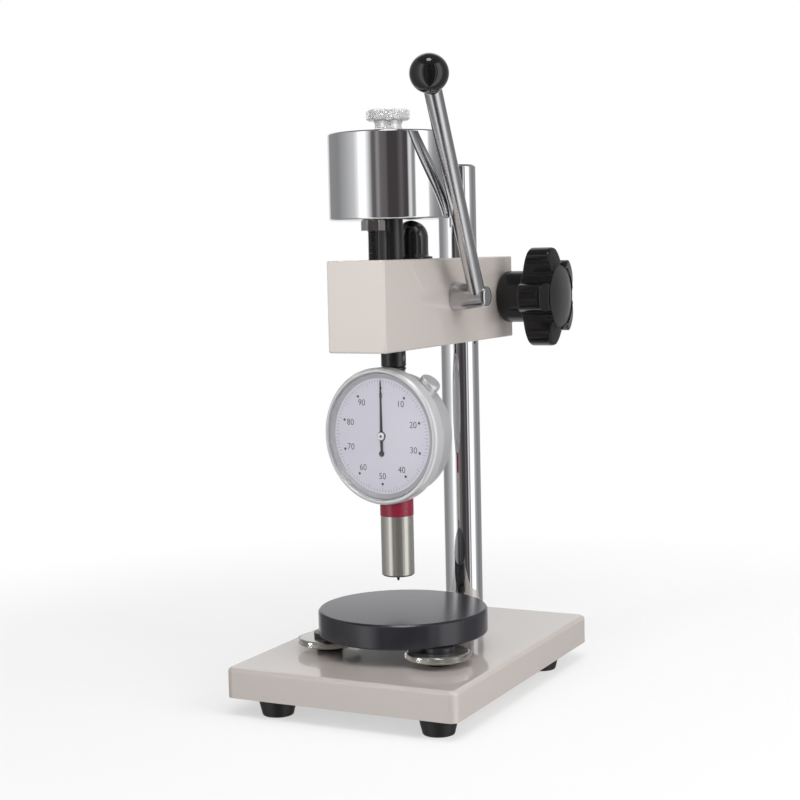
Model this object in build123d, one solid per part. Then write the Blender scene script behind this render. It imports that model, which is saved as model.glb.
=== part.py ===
from build123d import *
import os
from math import asin, atan2, cos, degrees, pi, radians, sin, sqrt, tan

# Dead-weight stand for a dial hardness tester. Millimetres, +Z up, the front looks along -Y.
# The origin lies on the bench, midway between the base plate's front edge and the knob's rear lobes.

# base plate and its rubber feet
base_width = 108.4
base_depth = 152.4
base_thickness = 13.0
base_corner_radius = 3.6
base_edge_radius = 1.9
foot_height = 8.0
foot_top_d = 17.0
foot_bottom_d = 13.3
foot_inset_left = 19.4
foot_inset_right = 12.8
foot_inset_front = 11.0
foot_inset_rear = 27.6
foot_screw_d = 4.0
foot_screw_head_d = 7.5
foot_screw_head_height = 2.4
foot_screw_grip = 8.0
foot_recess_depth = 4.0

# column
column_d = 18.0
column_stand = 216.0
column_from_front = 130.0
column_seat_depth = 9.0
column_chamfer = 1.0
column_screw_d = 8.0
column_screw_grip = 12.0
column_screw_head_d = 13.0
column_screw_head_height = 3.4

# round table on its three levelling screws
platen_d = 75.2
platen_offset = 1.9
platen_thickness = 10.9
platen_chamfer = 0.9
platen_lift = 7.9
level_circle_d = 66.0
level_wheel_d = 28.0
level_wheel_thickness = 3.2
level_stud_d = 5.0
level_pad_d = 11.6
level_pad_height = 2.5
level_boss_d = 14.0
level_start_angle = -37.0

# arm
arm_width = 27.4
arm_height = 39.0
arm_nose = 17.4
arm_edge_radius = 0.8
arm_bottom = 154.5
column_from_arm_rear = 33.2
clamp_split = 2.0
clamp_from_rear = 9.2
clamp_axis_drop = 19.5
clamp_screw_d = 8.0
clamp_screw_clear_d = 8.4

# spindle, which carries the durometer below and the weight on top
spindle_reach = 70.5
spindle_d = 11.0
spindle_below_arm = 8.1
spindle_tip_chamfer = 0.6
spindle_spigot_d = 8.0
spindle_spigot_short = 1.0
spindle_travel = 6.5
bush_od = 15.0
bush_length = 9.0
weight_d = 53.2
weight_height = 37.3
weight_chamfer = 0.6
weight_over_arm = 17.2

# knurled nut on top of the weight
thumb_head_d = 18.9
thumb_head_height = 4.6
thumb_head_over_weight = 5.4
thumb_foot_d = 12.8
thumb_waist_d = 11.0
thumb_stud_d = 5.0
thumb_stud_length = 10.0
thumb_edge = 0.5

# hexagon stop screw and rubber buffer under the weight
stop_screw_inset = 10.1
stop_screw_af = 9.0
stop_screw_head_height = 4.7
stop_screw_crown = 0.8
stop_screw_turn = 26.6
stop_screw_d = 4.8
stop_screw_depth = 14.0
buffer_behind = 20.3
buffer_d = 15.2
buffer_flange_d = 18.8
buffer_flange_height = 1.1
buffer_stud_d = 5.0
buffer_stud_grip = 5.5
buffer_stud_head_d = 10.0

# lever and the lifting arm that it turns
lever_behind_spindle = 36.0
lever_axis_height = 21.5
lever_lean = 38.2
lever_splay = 6.0
lever_length = 117.8
lever_shaft_d = 9.0
lever_hub_d = 13.5
lever_hub_end_d = 10.0
lever_hub_round = 1.8
lever_hub_nose = 5.7
lever_rod_d = 7.0
lever_weight_gap = 0.35
lever_spigot_d = 5.0
ball_d = 16.2
ball_flat_d = 8.0
shaft_bush_od = 12.0
shaft_bush_length = 8.0
lift_arm_thickness = 4.0
lift_hub_d = 17.0
lift_nose_d = 9.0
lift_arm_height = 7.0
lift_pin_d = 2.0
circlip_thickness = 1.0
circlip_d = 12.6
circlip_mouth = 4.0

# star knob
knob_d = 49.0
knob_lobe_d = 13.0
knob_lobes = 5
knob_core_d = 30.0
knob_hub_d = 24.7
knob_hub_length = 12.4
knob_back_rise = 3.7
knob_rim_length = 11.0
knob_crown_height = 3.6
knob_crown_d = 30.0
knob_crown_step = 1.6
knob_crown_edge = 1.1
knob_web_radius = 5.0

# durometer, built facing the front and then turned on the spindle
dial_turn = -9.0
case_d = 54.0
case_wall = 2.0
case_back = 6.0
case_front = 8.9
case_lip = 6.5
back_cover_inset = 1.5
back_cover_thickness = 1.6
back_cover_crown = 1.2
back_cover_margin = 5.0
back_cover_slope = 1.0
back_screw_d = 2.0
back_screw_head_d = 3.6
back_screw_head_height = 0.9
back_screw_inset = 2.5
stem_d = 8.0
stem_length = 10.0
stem_shoulder_d = 10.4
stem_shoulder_height = 2.5
set_screw_d = 3.0
barrel_d = 14.6
barrel_length = 27.0
barrel_chamfer = 0.6
barrel_bore_d = 8.0
foot_plate = 4.0
barrel_neck_reach = 1.0
neck_d = 10.0
band_d = 14.9
band_height = 8.9

# bezel with its glass and dial
bezel_over_case = 3.0
bezel_front = 12.4
bezel_back = 5.5
bezel_face = 2.1
bezel_dial_lap = 0.4
bezel_round = 0.9
dial_plane = 9.85
dial_plate_thickness = 0.6
dial_hole_d = 4.4
glass_lap = 0.5
glass_thickness = 0.8
glass_back = 10.9
clamp_lug_angle = 50.0
clamp_lug_d = 9.5
clamp_lug_rise = 4.6

# movement
pointer_short = 2.5
pointer_tail = 7.7
pointer_width = 1.1
pointer_tail_d = 2.6
pointer_thickness = 0.2
pointer_gap = 0.2
pointer_hub_d = 3.4
arbor_d = 1.2
plate_play = 2.5
plate_thickness = 1.0
front_plate_at = 5.4
back_plate_at = 3.6
pillar_d = 3.0
pillar_inset = 3.5
rack_stem_d = 4.0
rack_pitch_at = 1.2
wheel_teeth = 80
centre_teeth = 20
idler_pinion_teeth = 16
tooth_module = 0.2
tooth_share = 0.36
tooth_tip_share = 0.18
tooth_rise = 0.14
tooth_depth = 0.22
rack_grooves_below = 8
rack_grooves_above = 3
gear_at = 2.6
gear_thickness = 1.2
pinion_half_width = 1.0
stem_below_arbor = 4.4
rack_foot = 1.0
rack_pin_grip = 3.0
indenter_d = 1.25
indenter_tip_d = 0.79
indenter_cone_angle = 35.0
indenter_reach = 2.5
indenter_travel = 2.5
indenter_spring_wire = 0.6
indenter_spring_d = 6.4
indenter_spring_turns = 6

# clearances
running = 0.05
bezel_fit = 0.1
face_gap = 0.1
seat_gap = 0.05
free_gap = 0.3
loose = 0.6
# a cut runs this far past the face that it opens
over = 1.0

# places that follow from the sizes
base_top = foot_height + base_thickness
knob_lobe_at = (knob_d - knob_lobe_d) / 2
knob_reach_back = knob_lobe_at * cos(pi / knob_lobes) + knob_lobe_d / 2
knob_from_front = column_from_front + column_from_arm_rear - clamp_from_rear
base_front = -(knob_from_front + knob_reach_back) / 2
base_y = base_front + base_depth / 2
column_y = base_front + column_from_front
spindle_y = column_y - spindle_reach
arm_rear = column_y + column_from_arm_rear
stop_y = spindle_y - weight_d / 2 + stop_screw_inset
arm_front = stop_y - arm_nose
arm_top = arm_bottom + arm_height
clamp_y = arm_rear - clamp_from_rear
clamp_z = arm_top - clamp_axis_drop
lever_y = spindle_y + lever_behind_spindle
lever_z = arm_bottom + lever_axis_height
weight_bottom = arm_top + weight_over_arm
weight_top = weight_bottom + weight_height
spindle_bottom = arm_bottom - spindle_below_arm
platen_bottom = base_top + platen_lift
platen_top = platen_bottom + platen_thickness
bezel_d = case_d + 2 * bezel_over_case
bezel_opening_d = bezel_d - 2 * bezel_face
glass_d = bezel_opening_d + 2 * glass_lap
dial_plate_d = case_d
bezel_inner_d = dial_plate_d - 2 * bezel_dial_lap
case_flange_d = case_d - 2 * case_lip
back_cover_d = case_d - 2 * back_cover_inset
back_screw_circle_d = back_cover_d - 2 * back_screw_inset
plate_d = case_d - 2 * (case_wall + plate_play)
pillar_circle_d = plate_d - 2 * pillar_inset
pointer_length = dial_plate_d / 2 - pointer_short
clamp_lug_top = case_d / 2 + clamp_lug_rise
dial_z = spindle_bottom - stem_shoulder_height - case_d / 2
foot_z = dial_z - case_d / 2 - band_height - barrel_length
buffer_y = spindle_y + buffer_behind
side = arm_width / 2
# the lever's rod passes the weight's side with its gap, seen from above
lever_out = sin(radians(lever_splay))
lever_ahead = cos(radians(lever_splay)) * sin(radians(lever_lean))
lever_clear = weight_d / 2 + lever_rod_d / 2 + lever_weight_gap
lever_slant = sqrt(lever_out ** 2 + lever_ahead ** 2)
lever_rod_x = (lever_clear * lever_slant - lever_behind_spindle * lever_out) / lever_ahead
lever_hub_length = lever_rod_x - side - face_gap + lever_hub_nose
lift_angle = degrees(asin(spindle_travel / 2 / lever_behind_spindle))
wheel_pitch_r = wheel_teeth * tooth_module / 2
centre_pitch_r = centre_teeth * tooth_module / 2
# one full turn of the pointer over the indenter's travel
pinion_pitch_r = indenter_travel * wheel_pitch_r / (centre_pitch_r * 2 * pi)
rack_pitch = 2 * pi * pinion_pitch_r / idler_pinion_teeth


def along_z(radius, low, high, x=0.0, y=0.0):
    """Upright cylinder between two heights."""
    return Pos(x, y, low) * Cylinder(radius, high - low, align=(Align.CENTER, Align.CENTER, Align.MIN))


def along_x(radius, left, right, y=0.0, z=0.0):
    """Cylinder across the arm between two X values."""
    turned = Rot(0, 90, 0) * Cylinder(radius, right - left, align=(Align.CENTER, Align.CENTER, Align.MIN))
    return Pos(left, y, z) * turned


def forward(radius, back, front, x=0.0, z=0.0):
    """Cylinder along the dial's normal, from one offset to another in front of the spindle axis."""
    turned = Rot(90, 0, 0) * Cylinder(radius, front - back, align=(Align.CENTER, Align.CENTER, Align.MIN))
    return Pos(x, spindle_y - back, dial_z + z) * turned


def block(x0, x1, y0, y1, z0, z1):
    """Box between its corner values."""
    return Pos((x0 + x1) / 2, (y0 + y1) / 2, (z0 + z1) / 2) * Box(x1 - x0, y1 - y0, z1 - z0)


def turned_part(points, x=0.0, y=0.0, z=0.0):
    """Solid of revolution about an upright axis from (radius, height) points."""
    outline = make_face(Plane.XZ * Polyline(*points, close=True))
    return Pos(x, y, z) * revolve(outline, Axis.Z)


def round_dial_part(points):
    """Solid of revolution about the dial's normal from (radius, offset to the front) points."""
    return Pos(0, spindle_y, dial_z) * Rot(90, 0, 0) * turned_part(points)


def faced(solid):
    """Turn a durometer piece on the spindle to where the dial faces."""
    return Pos(0, spindle_y, 0) * Rot(0, 0, dial_turn) * Pos(0, -spindle_y, 0) * solid


def group(solids):
    """Several separate solids in one node."""
    return Compound(list(solids))


def foot_places():
    """Plan positions of the four rubber feet."""
    right = base_width / 2 - foot_inset_right
    left = foot_inset_left - base_width / 2
    front = base_front + foot_inset_front
    rear = base_front + base_depth - foot_inset_rear
    return [(right, rear), (right, front), (left, rear), (left, front)]


def level_places():
    """Plan positions of the three levelling screws under the table."""
    r = level_circle_d / 2
    angles = [radians(level_start_angle + 120 * k) for k in range(3)]
    return [(platen_offset + r * cos(a), spindle_y + r * sin(a)) for a in angles]


def helix_spring(wire, diameter, low, high, turns, x, y):
    """Open coil spring standing upright between two heights."""
    pitch = (high - low - wire) / turns
    path = Helix(pitch, pitch * turns, diameter / 2)
    start = Plane(origin=path @ 0, z_dir=path % 0)
    coil = sweep(start * RegularPolygon(wire / 2, 6), path=path, is_frenet=True)
    return Pos(x, y, low + wire / 2) * coil


# base group
def base_plate():
    outline = RectangleRounded(base_width, base_depth, base_corner_radius)
    plate = Pos(0, base_y, foot_height) * extrude(outline, base_thickness)
    top_edges = plate.edges().group_by(Axis.Z)[-1]
    plate = fillet(top_edges, base_edge_radius)
    plate -= along_z(column_d / 2 + running, base_top - column_seat_depth, base_top + over, y=column_y)
    plate -= along_z(column_screw_d / 2 + free_gap, foot_height - over, base_top, y=column_y)
    plate -= along_z(column_screw_head_d / 2 + free_gap, foot_height - over,
                     foot_height + column_screw_head_height + face_gap, y=column_y)
    for x, y in foot_places():
        plate -= along_z(foot_screw_d / 2 + running, foot_height - over,
                         foot_height + foot_screw_grip + face_gap, x, y)
    return plate


def rubber_feet():
    feet = []
    for x, y in foot_places():
        foot = turned_part([(0, 0), (foot_bottom_d / 2, 0), (foot_top_d / 2, foot_height), (0, foot_height)],
                           x, y)
        foot -= along_z(foot_screw_head_d / 2 + free_gap, -over, foot_recess_depth, x, y)
        foot -= along_z(foot_screw_d / 2 + running, -over, foot_height + over, x, y)
        feet.append(foot)
    return group(feet)


def foot_screws():
    screws = []
    for x, y in foot_places():
        head = along_z(foot_screw_head_d / 2, foot_recess_depth - foot_screw_head_height, foot_recess_depth,
                       x, y)
        shank = along_z(foot_screw_d / 2, foot_recess_depth, foot_height + foot_screw_grip, x, y)
        screws.append(head + shank)
    return group(screws)


def column():
    bottom = base_top - column_seat_depth
    top = base_top + column_stand
    rod = along_z(column_d / 2, bottom, top, y=column_y)
    rod = chamfer(rod.edges().group_by(Axis.Z)[-1], column_chamfer)
    return rod - along_z(column_screw_d / 2 + running, bottom - over, bottom + column_screw_grip, y=column_y)


def column_screw():
    low = foot_height
    head = along_z(column_screw_head_d / 2, low, low + column_screw_head_height, y=column_y)
    shank_top = base_top - column_seat_depth + column_screw_grip - face_gap
    return head + along_z(column_screw_d / 2, low, shank_top, y=column_y)


# table group
def platen():
    disc = along_z(platen_d / 2, platen_bottom, platen_top, platen_offset, spindle_y)
    disc = chamfer(disc.edges().group_by(Axis.Z)[-1], platen_chamfer)
    for x, y in level_places():
        disc -= along_z(level_stud_d / 2 + running, platen_bottom - over,
                        platen_bottom + platen_thickness / 2, x, y)
    return disc


def platen_bosses():
    low = base_top + level_pad_height + level_wheel_thickness + seat_gap + face_gap
    rings = []
    for x, y in level_places():
        ring = along_z(level_boss_d / 2, low, platen_bottom, x, y)
        rings.append(ring - along_z(level_stud_d / 2 + running, low - over, platen_bottom + over, x, y))
    return group(rings)


def levelling_pads():
    pads = []
    for x, y in level_places():
        r = level_pad_d / 2
        side = [(0, 0), (r, 0), (r - 0.5 * free_gap, level_pad_height), (0, level_pad_height)]
        pads.append(turned_part(side, x, y, base_top))
    return group(pads)


def levelling_screw(k):
    x, y = level_places()[k]
    low = base_top + level_pad_height + seat_gap
    wheel = along_z(level_wheel_d / 2, low, low + level_wheel_thickness, x, y)
    wheel = chamfer(wheel.edges().filter_by(GeomType.CIRCLE), free_gap)
    stud_top = platen_bottom + platen_thickness / 2 - face_gap
    return wheel + along_z(level_stud_d / 2, low, stud_top, x, y)


# arm group
def arm_block():
    arm = block(-side, side, arm_front, arm_rear, arm_bottom, arm_top)
    arm = fillet(arm.edges(), arm_edge_radius)
    low = arm_bottom - over
    high = arm_top + over
    arm -= along_z(column_d / 2 + running, low, high, y=column_y)
    arm -= block(-clamp_split / 2, clamp_split / 2, column_y, arm_rear + over, low, high)
    arm -= along_x(clamp_screw_clear_d / 2, 0, side + over, clamp_y, clamp_z)
    arm -= along_x(clamp_screw_d / 2 + running, clamp_split / 2 - side, 0, clamp_y, clamp_z)
    arm -= along_z(bush_od / 2 + running / 5, low, high, y=spindle_y)
    slot_half = lift_arm_thickness / 2 + loose
    slot_rear = lever_y + lift_hub_d / 2 + loose
    slot_roof = lever_z + lift_hub_d / 2 + 2 * loose
    arm -= block(-slot_half, slot_half, spindle_y, slot_rear, low, slot_roof)
    arm -= along_x(shaft_bush_od / 2 + running / 5, -side - over, side + over, lever_y, lever_z)
    arm -= along_z(stop_screw_d / 2 + running, arm_top - stop_screw_depth - face_gap, high, y=stop_y)
    arm -= along_z(buffer_stud_d / 2 + running, arm_top - buffer_stud_grip - face_gap, high, y=buffer_y)
    return arm


def spindle_bush(low):
    ring = along_z(bush_od / 2, low, low + bush_length, y=spindle_y)
    return ring - along_z(spindle_d / 2 + running, low - over, low + bush_length + over, y=spindle_y)


def shaft_bush(left):
    ring = along_x(shaft_bush_od / 2, left, left + shaft_bush_length, lever_y, lever_z)
    return ring - along_x(lever_shaft_d / 2 + running, left - over, left + shaft_bush_length + over,
                          lever_y, lever_z)


def stop_screw():
    top = weight_bottom - seat_gap
    under = top - stop_screw_head_height
    hexagon = RegularPolygon(stop_screw_af / 2, 6, major_radius=False, rotation=stop_screw_turn)
    head = Pos(0, stop_y, under) * extrude(hexagon, stop_screw_head_height)
    corner = stop_screw_af / sqrt(3)
    crown = turned_part([(0, 0), (corner, 0), (corner, stop_screw_head_height - stop_screw_crown),
                         (stop_screw_af / 2 - free_gap, stop_screw_head_height), (0, stop_screw_head_height)],
                        y=stop_y, z=under)
    return (head & crown) + along_z(stop_screw_d / 2, arm_top - stop_screw_depth, under, y=stop_y)


def rubber_buffer():
    r = buffer_d / 2
    apex = weight_bottom - seat_gap
    dome = along_z(r, arm_top, apex - r, y=buffer_y) + Pos(0, buffer_y, apex - r) * Sphere(r)
    dome += along_z(buffer_flange_d / 2, arm_top, arm_top + buffer_flange_height, y=buffer_y)
    dome -= block(-r, r, buffer_y - r, buffer_y + r, arm_top - r, arm_top)
    return dome - buffer_stud()


def buffer_stud():
    """Threaded stud with a round head moulded into the rubber."""
    head_top = arm_top + 2 * buffer_flange_height
    head = along_z(buffer_stud_head_d / 2, arm_top + buffer_flange_height, head_top, y=buffer_y)
    return head + along_z(buffer_stud_d / 2, arm_top - buffer_stud_grip, head_top, y=buffer_y)


# lever group
def lever_direction(splay=lever_splay):
    """Unit vector up the lever, which leans to the front and stands off the weight."""
    out = sin(radians(splay))
    up = cos(radians(splay))
    return Vector(out, -up * sin(radians(lever_lean)), up * cos(radians(lever_lean)))


def on_lever(radius, start, end, x, splay=lever_splay):
    """Cylinder along the lever between two distances from its axis."""
    d = lever_direction(splay)
    base = Vector(x, lever_y, lever_z) + d * start
    return Plane(origin=base, z_dir=d) * Cylinder(
        radius, end - start, align=(Align.CENTER, Align.CENTER, Align.MIN))


def lever_hub():
    left = side + face_gap
    end = lever_hub_end_d / 2
    outline = [(0, 0), (lever_hub_d / 2, 0), (end, lever_hub_length), (0, lever_hub_length)]
    hub = Pos(left, lever_y, lever_z) * Rot(0, 90, 0) * turned_part(outline)
    return fillet(hub.edges().group_by(Axis.X)[-1], lever_hub_round)


def lever_shaft():
    left_end = -side - face_gap - 2 * circlip_thickness
    shaft = lever_hub() + along_x(lever_shaft_d / 2, left_end, side + over, lever_y, lever_z)
    groove = along_x(lever_shaft_d / 2 + over, -side - face_gap - circlip_thickness - seat_gap,
                     -side - face_gap, lever_y, lever_z)
    groove -= along_x(lever_shaft_d / 2 - circlip_thickness / 2, -side - 3 * over, -side, lever_y, lever_z)
    shaft -= groove
    shaft -= on_lever(lever_spigot_d / 2 + running, -lever_hub_end_d / 4, lever_hub_d, lever_rod_x)
    return shaft - lift_pin_hole()


def lift_pin_hole():
    return on_lever(lift_pin_d / 2 + running / 5, -lift_hub_d / 2 - over, lift_hub_d / 2 + over, 0, splay=0)


def lever_rod():
    x = lever_rod_x
    rod = on_lever(lever_rod_d / 2, 0, lever_length - ball_d / 2 + free_gap, x) - lever_hub()
    near = [s for s in rod.solids() if s.volume > lever_rod_d ** 3]
    rod = near[0]
    rod += on_lever(lever_spigot_d / 2, -lever_hub_end_d / 4 + face_gap, lever_hub_d / 2, x)
    return rod + on_lever(lever_spigot_d / 2, lever_length - ball_d / 2, lever_length, x)


def ball_knob():
    x = lever_rod_x
    d = lever_direction()
    centre = Vector(x, lever_y, lever_z) + d * lever_length
    ball = Pos(centre.X, centre.Y, centre.Z) * Sphere(ball_d / 2)
    flat = sqrt((ball_d / 2) ** 2 - (ball_flat_d / 2) ** 2)
    ball -= on_lever(ball_d, lever_length - ball_d, lever_length - flat, x)
    ball -= on_lever(lever_rod_d / 2 + running, lever_length - ball_d,
                     lever_length - ball_d / 2 + free_gap, x)
    return ball - on_lever(lever_spigot_d / 2 + running, lever_length - ball_d, lever_length + face_gap, x)


def lifting_arm():
    half = lift_arm_thickness / 2
    rest = Pos(0, lever_y, lever_z) * Rot(lift_angle, 0, 0)
    hub = along_x(lift_hub_d / 2, -half - loose / 2, half + loose / 2)
    nose = along_x(lift_nose_d / 2, -half, half, y=-lever_behind_spindle)
    beam = block(-half, half, -lever_behind_spindle, 0, -lift_arm_height / 2, lift_arm_height / 2)
    arm = rest * (hub + nose + beam)
    arm -= along_x(lever_shaft_d / 2 + running / 5, -side, side, lever_y, lever_z)
    return arm - lift_pin_hole()


def lift_pin():
    return on_lever(lift_pin_d / 2, -lift_hub_d / 2, lift_hub_d / 2, 0, splay=0)


def shaft_circlip():
    left = -side - face_gap - circlip_thickness
    ring = along_x(circlip_d / 2, left, left + circlip_thickness, lever_y, lever_z)
    ring -= along_x(lever_shaft_d / 2 - circlip_thickness / 2, left - over, left + 2 * over,
                    lever_y, lever_z)
    mouth = block(left - over, left + 2 * over, lever_y - circlip_mouth / 2, lever_y + circlip_mouth / 2,
                  lever_z - circlip_d, lever_z)
    return ring - mouth


# clamp group
def star_outline():
    shape = Circle(knob_core_d / 2)
    for k in range(knob_lobes):
        a = radians(180 + 360 / knob_lobes * k)
        shape += Pos(knob_lobe_at * cos(a), knob_lobe_at * sin(a)) * Circle(knob_lobe_d / 2)
        shape += Rot(0, 0, degrees(a)) * Pos(knob_lobe_at / 2, 0) * Rectangle(knob_lobe_at, knob_lobe_d)
    corners = [v for v in shape.vertices() if v.distance_to(Vertex(0, 0, 0)) < knob_core_d / 2 + free_gap]
    return fillet(corners, knob_web_radius)


def star_knob():
    rim_low = knob_hub_length + knob_back_rise
    rim_high = rim_low + knob_rim_length
    top = rim_high + knob_crown_height
    r = knob_d / 2
    crown = knob_crown_d / 2
    envelope = turned_part([(0, 0), (knob_hub_d / 2, 0), (knob_hub_d / 2, knob_hub_length), (r, rim_low),
                            (r, rim_high), (crown, top - knob_crown_step), (crown, top - knob_crown_edge),
                            (crown - knob_crown_edge, top), (0, top)])
    star = extrude(star_outline(), top) & envelope
    star += along_z(knob_hub_d / 2, 0, knob_hub_length + over)
    star -= along_z(clamp_screw_d / 2 + running / 5, -over, rim_low)
    # the outline's first lobe points to the front of the stand
    return Pos(side + face_gap, clamp_y, clamp_z) * Rot(0, 90, 0) * Rot(0, 0, 90) * star


def clamp_screw():
    left = clamp_split / 2 - side + face_gap
    right = side + knob_hub_length + knob_back_rise
    return along_x(clamp_screw_d / 2, left, right, clamp_y, clamp_z)


# spindle group
def spindle():
    rod = along_z(spindle_d / 2, spindle_bottom, weight_bottom, y=spindle_y)
    rod = chamfer(rod.edges().group_by(Axis.Z)[0], spindle_tip_chamfer)
    rod += along_z(spindle_spigot_d / 2, weight_bottom, weight_top - spindle_spigot_short, y=spindle_y)
    rod -= along_z(thumb_stud_d / 2 + running, weight_top - thumb_stud_length - face_gap, weight_top,
                   y=spindle_y)
    rod -= along_z(stem_d / 2 + running, spindle_bottom - over, spindle_bottom + stem_length + face_gap,
                   y=spindle_y)
    window_z = lever_z - spindle_travel / 2
    half = lift_arm_thickness / 2 + free_gap
    tall = lift_nose_d / 2 + running
    rod -= block(-half, half, spindle_y - spindle_d, spindle_y + spindle_d,
                 window_z - tall, window_z + tall)
    set_z = spindle_bottom + spindle_below_arm / 2
    return rod - along_x(set_screw_d / 2 + running, 0, spindle_d, spindle_y, set_z)


def stem_set_screw():
    set_z = spindle_bottom + spindle_below_arm / 2
    return along_x(set_screw_d / 2, stem_d / 2 + face_gap, spindle_d / 2 - free_gap, spindle_y, set_z)


def weight():
    disc = along_z(weight_d / 2, weight_bottom, weight_top, y=spindle_y)
    disc = chamfer(disc.edges().filter_by(GeomType.CIRCLE), weight_chamfer)
    return disc - along_z(spindle_spigot_d / 2 + running, weight_bottom - over, weight_top + over,
                          y=spindle_y)


def weight_thumbscrew():
    seat = weight_top + seat_gap
    head = seat + thumb_head_over_weight
    top = head + thumb_head_height
    waist = thumb_waist_d / 2
    rim = thumb_head_d / 2
    body = turned_part([(0, seat), (thumb_foot_d / 2, seat), (waist, seat + thumb_head_over_weight / 2),
                        (waist, head), (rim - thumb_edge, head), (rim, head + thumb_edge),
                        (rim, top - thumb_edge), (rim - thumb_edge, top), (0, top)], y=spindle_y)
    return body + along_z(thumb_stud_d / 2, weight_top - thumb_stud_length, seat, y=spindle_y)


# durometer group
def durometer_case():
    r = case_d / 2
    ring = forward(r, -case_back, case_front)
    ring -= forward(r - case_wall, -case_back + case_wall, case_front + over)
    ring -= forward(case_flange_d / 2, -case_back - over, case_front)
    for x, z in back_screw_places():
        ring -= forward(back_screw_d / 2 + running, -case_back - over, case_front, x, z)
    ring -= along_z(neck_d / 2 + running, dial_z - r - over, dial_z, y=spindle_y)
    ring -= along_z(stem_d / 2 + running, dial_z, dial_z + r + over, y=spindle_y)
    lug = lug_axis_cylinder(clamp_lug_d / 4 + running, r - 2 * case_wall, r + over)
    return ring - lug


def back_screw_places():
    r = back_screw_circle_d / 2
    return [(r * cos(radians(45 + 90 * k)), r * sin(radians(45 + 90 * k))) for k in range(4)]


def back_cover():
    back = case_back + back_cover_thickness
    rim = back_cover_d / 2
    raised = rim - back_cover_margin
    cover = round_dial_part([(0, -back - back_cover_crown),
                             (raised - back_cover_slope, -back - back_cover_crown),
                             (raised, -back), (rim, -back), (rim, -case_back), (0, -case_back)])
    for x, z in back_screw_places():
        cover -= forward(back_screw_d / 2 + running, -back - 3 * over, 0, x, z)
    return cover


def back_screws():
    back = case_back + back_cover_thickness
    screws = []
    for x, z in back_screw_places():
        head = forward(back_screw_head_d / 2, -back - back_screw_head_height, -back, x, z)
        screws.append(head + forward(back_screw_d / 2, -back, -case_back + case_wall, x, z))
    return group(screws)


def durometer_stem():
    r = case_d / 2
    stem = along_z(stem_d / 2, dial_z + r - case_wall, spindle_bottom + stem_length, y=spindle_y)
    collar = along_z(stem_shoulder_d / 2, dial_z + r - case_wall, spindle_bottom - seat_gap, y=spindle_y)
    return stem + (collar - forward(r + running / 5, -case_back, case_front))


def presser_barrel():
    low = foot_z
    high = foot_z + barrel_length
    tube = along_z(barrel_d / 2, low, high, y=spindle_y)
    tube = chamfer(tube.edges().group_by(Axis.Z)[0], barrel_chamfer)
    tube += along_z(neck_d / 2, high, dial_z - case_d / 2 + case_wall + barrel_neck_reach, y=spindle_y)
    tube -= along_z(indenter_d / 2 + running, low - over, high, y=spindle_y)
    tube -= along_z(barrel_bore_d / 2, low + foot_plate, dial_z - case_flange_d / 2 - over, y=spindle_y)
    return tube


def neck_band():
    high = dial_z - case_d / 2 + case_wall
    ring = along_z(band_d / 2, foot_z + barrel_length, high, y=spindle_y)
    ring -= along_z(neck_d / 2 + running / 5, foot_z, high + over, y=spindle_y)
    ring -= forward(case_d / 2 + running / 5, -case_back - back_cover_thickness, case_front + over)
    return ring - forward(bezel_d / 2 + free_gap, bezel_back - free_gap, bezel_front)


def lug_axis_cylinder(radius, start, end):
    """Cylinder standing on the case's rim at the clamp's angle."""
    a = radians(clamp_lug_angle)
    d = Vector(cos(a), 0, sin(a))
    base = Vector(0, spindle_y + clamp_lug_d / 2 - bezel_back + loose, dial_z) + d * start
    return Plane(origin=base, x_dir=(0, 1, 0), z_dir=d) * Cylinder(
        radius, end - start, align=(Align.CENTER, Align.CENTER, Align.MIN))


def bezel_clamp():
    r = case_d / 2
    cap = lug_axis_cylinder(clamp_lug_d / 2, r - over, clamp_lug_top)
    cap -= forward(r + running / 5, -case_back - 3 * over, case_front)
    return cap + lug_axis_cylinder(clamp_lug_d / 4, r - case_wall, r)


# bezel group
def bezel():
    ro = bezel_d / 2
    case_r = case_d / 2 + bezel_fit
    dial_r = dial_plate_d / 2 + running
    glass_r = glass_d / 2 + running
    opening = bezel_opening_d / 2
    dial_back = dial_plane - dial_plate_thickness - running
    return round_dial_part([(case_r, bezel_back), (ro - bezel_round / 2, bezel_back),
                            (ro, bezel_back + bezel_round), (ro, bezel_front - bezel_round),
                            (ro - bezel_round / 3, bezel_front - bezel_round / 3),
                            (ro - bezel_round, bezel_front), (opening + bezel_round / 2, bezel_front),
                            (opening, bezel_front - bezel_round / 2),
                            (opening, glass_back + glass_thickness + running),
                            (glass_r, glass_back + glass_thickness + running),
                            (glass_r, glass_back - running), (opening, glass_back - running),
                            (bezel_inner_d / 2, dial_plane + running),
                            (dial_r, dial_plane + running), (dial_r, dial_back), (case_r, dial_back)])


def crystal():
    return forward(glass_d / 2, glass_back, glass_back + glass_thickness)


def dial_plate():
    plate = forward(dial_plate_d / 2, dial_plane - dial_plate_thickness, dial_plane)
    return plate - forward(dial_hole_d / 2, dial_plane - 2 * over, dial_plane + over)


# movement group
def pointer():
    at = dial_plane + pointer_gap
    y = spindle_y - at
    hand = Polyline((-pointer_width / 2, 0), (-pointer_width / 8, pointer_length),
                    (pointer_width / 8, pointer_length),
                    (pointer_width / 2, 0), (pointer_width / 3, -pointer_tail),
                    (-pointer_width / 3, -pointer_tail), close=True)
    blade = make_face(hand) + Pos(0, -pointer_tail) * Circle(pointer_tail_d / 2)
    blade = Pos(0, y, dial_z) * Rot(90, 0, 0) * extrude(blade, pointer_thickness)
    hub = forward(pointer_hub_d / 2, at, at + 2 * pointer_thickness)
    return (blade + hub) - forward(arbor_d / 2 + running / 5, at - over, at + 3 * pointer_thickness)


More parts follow.
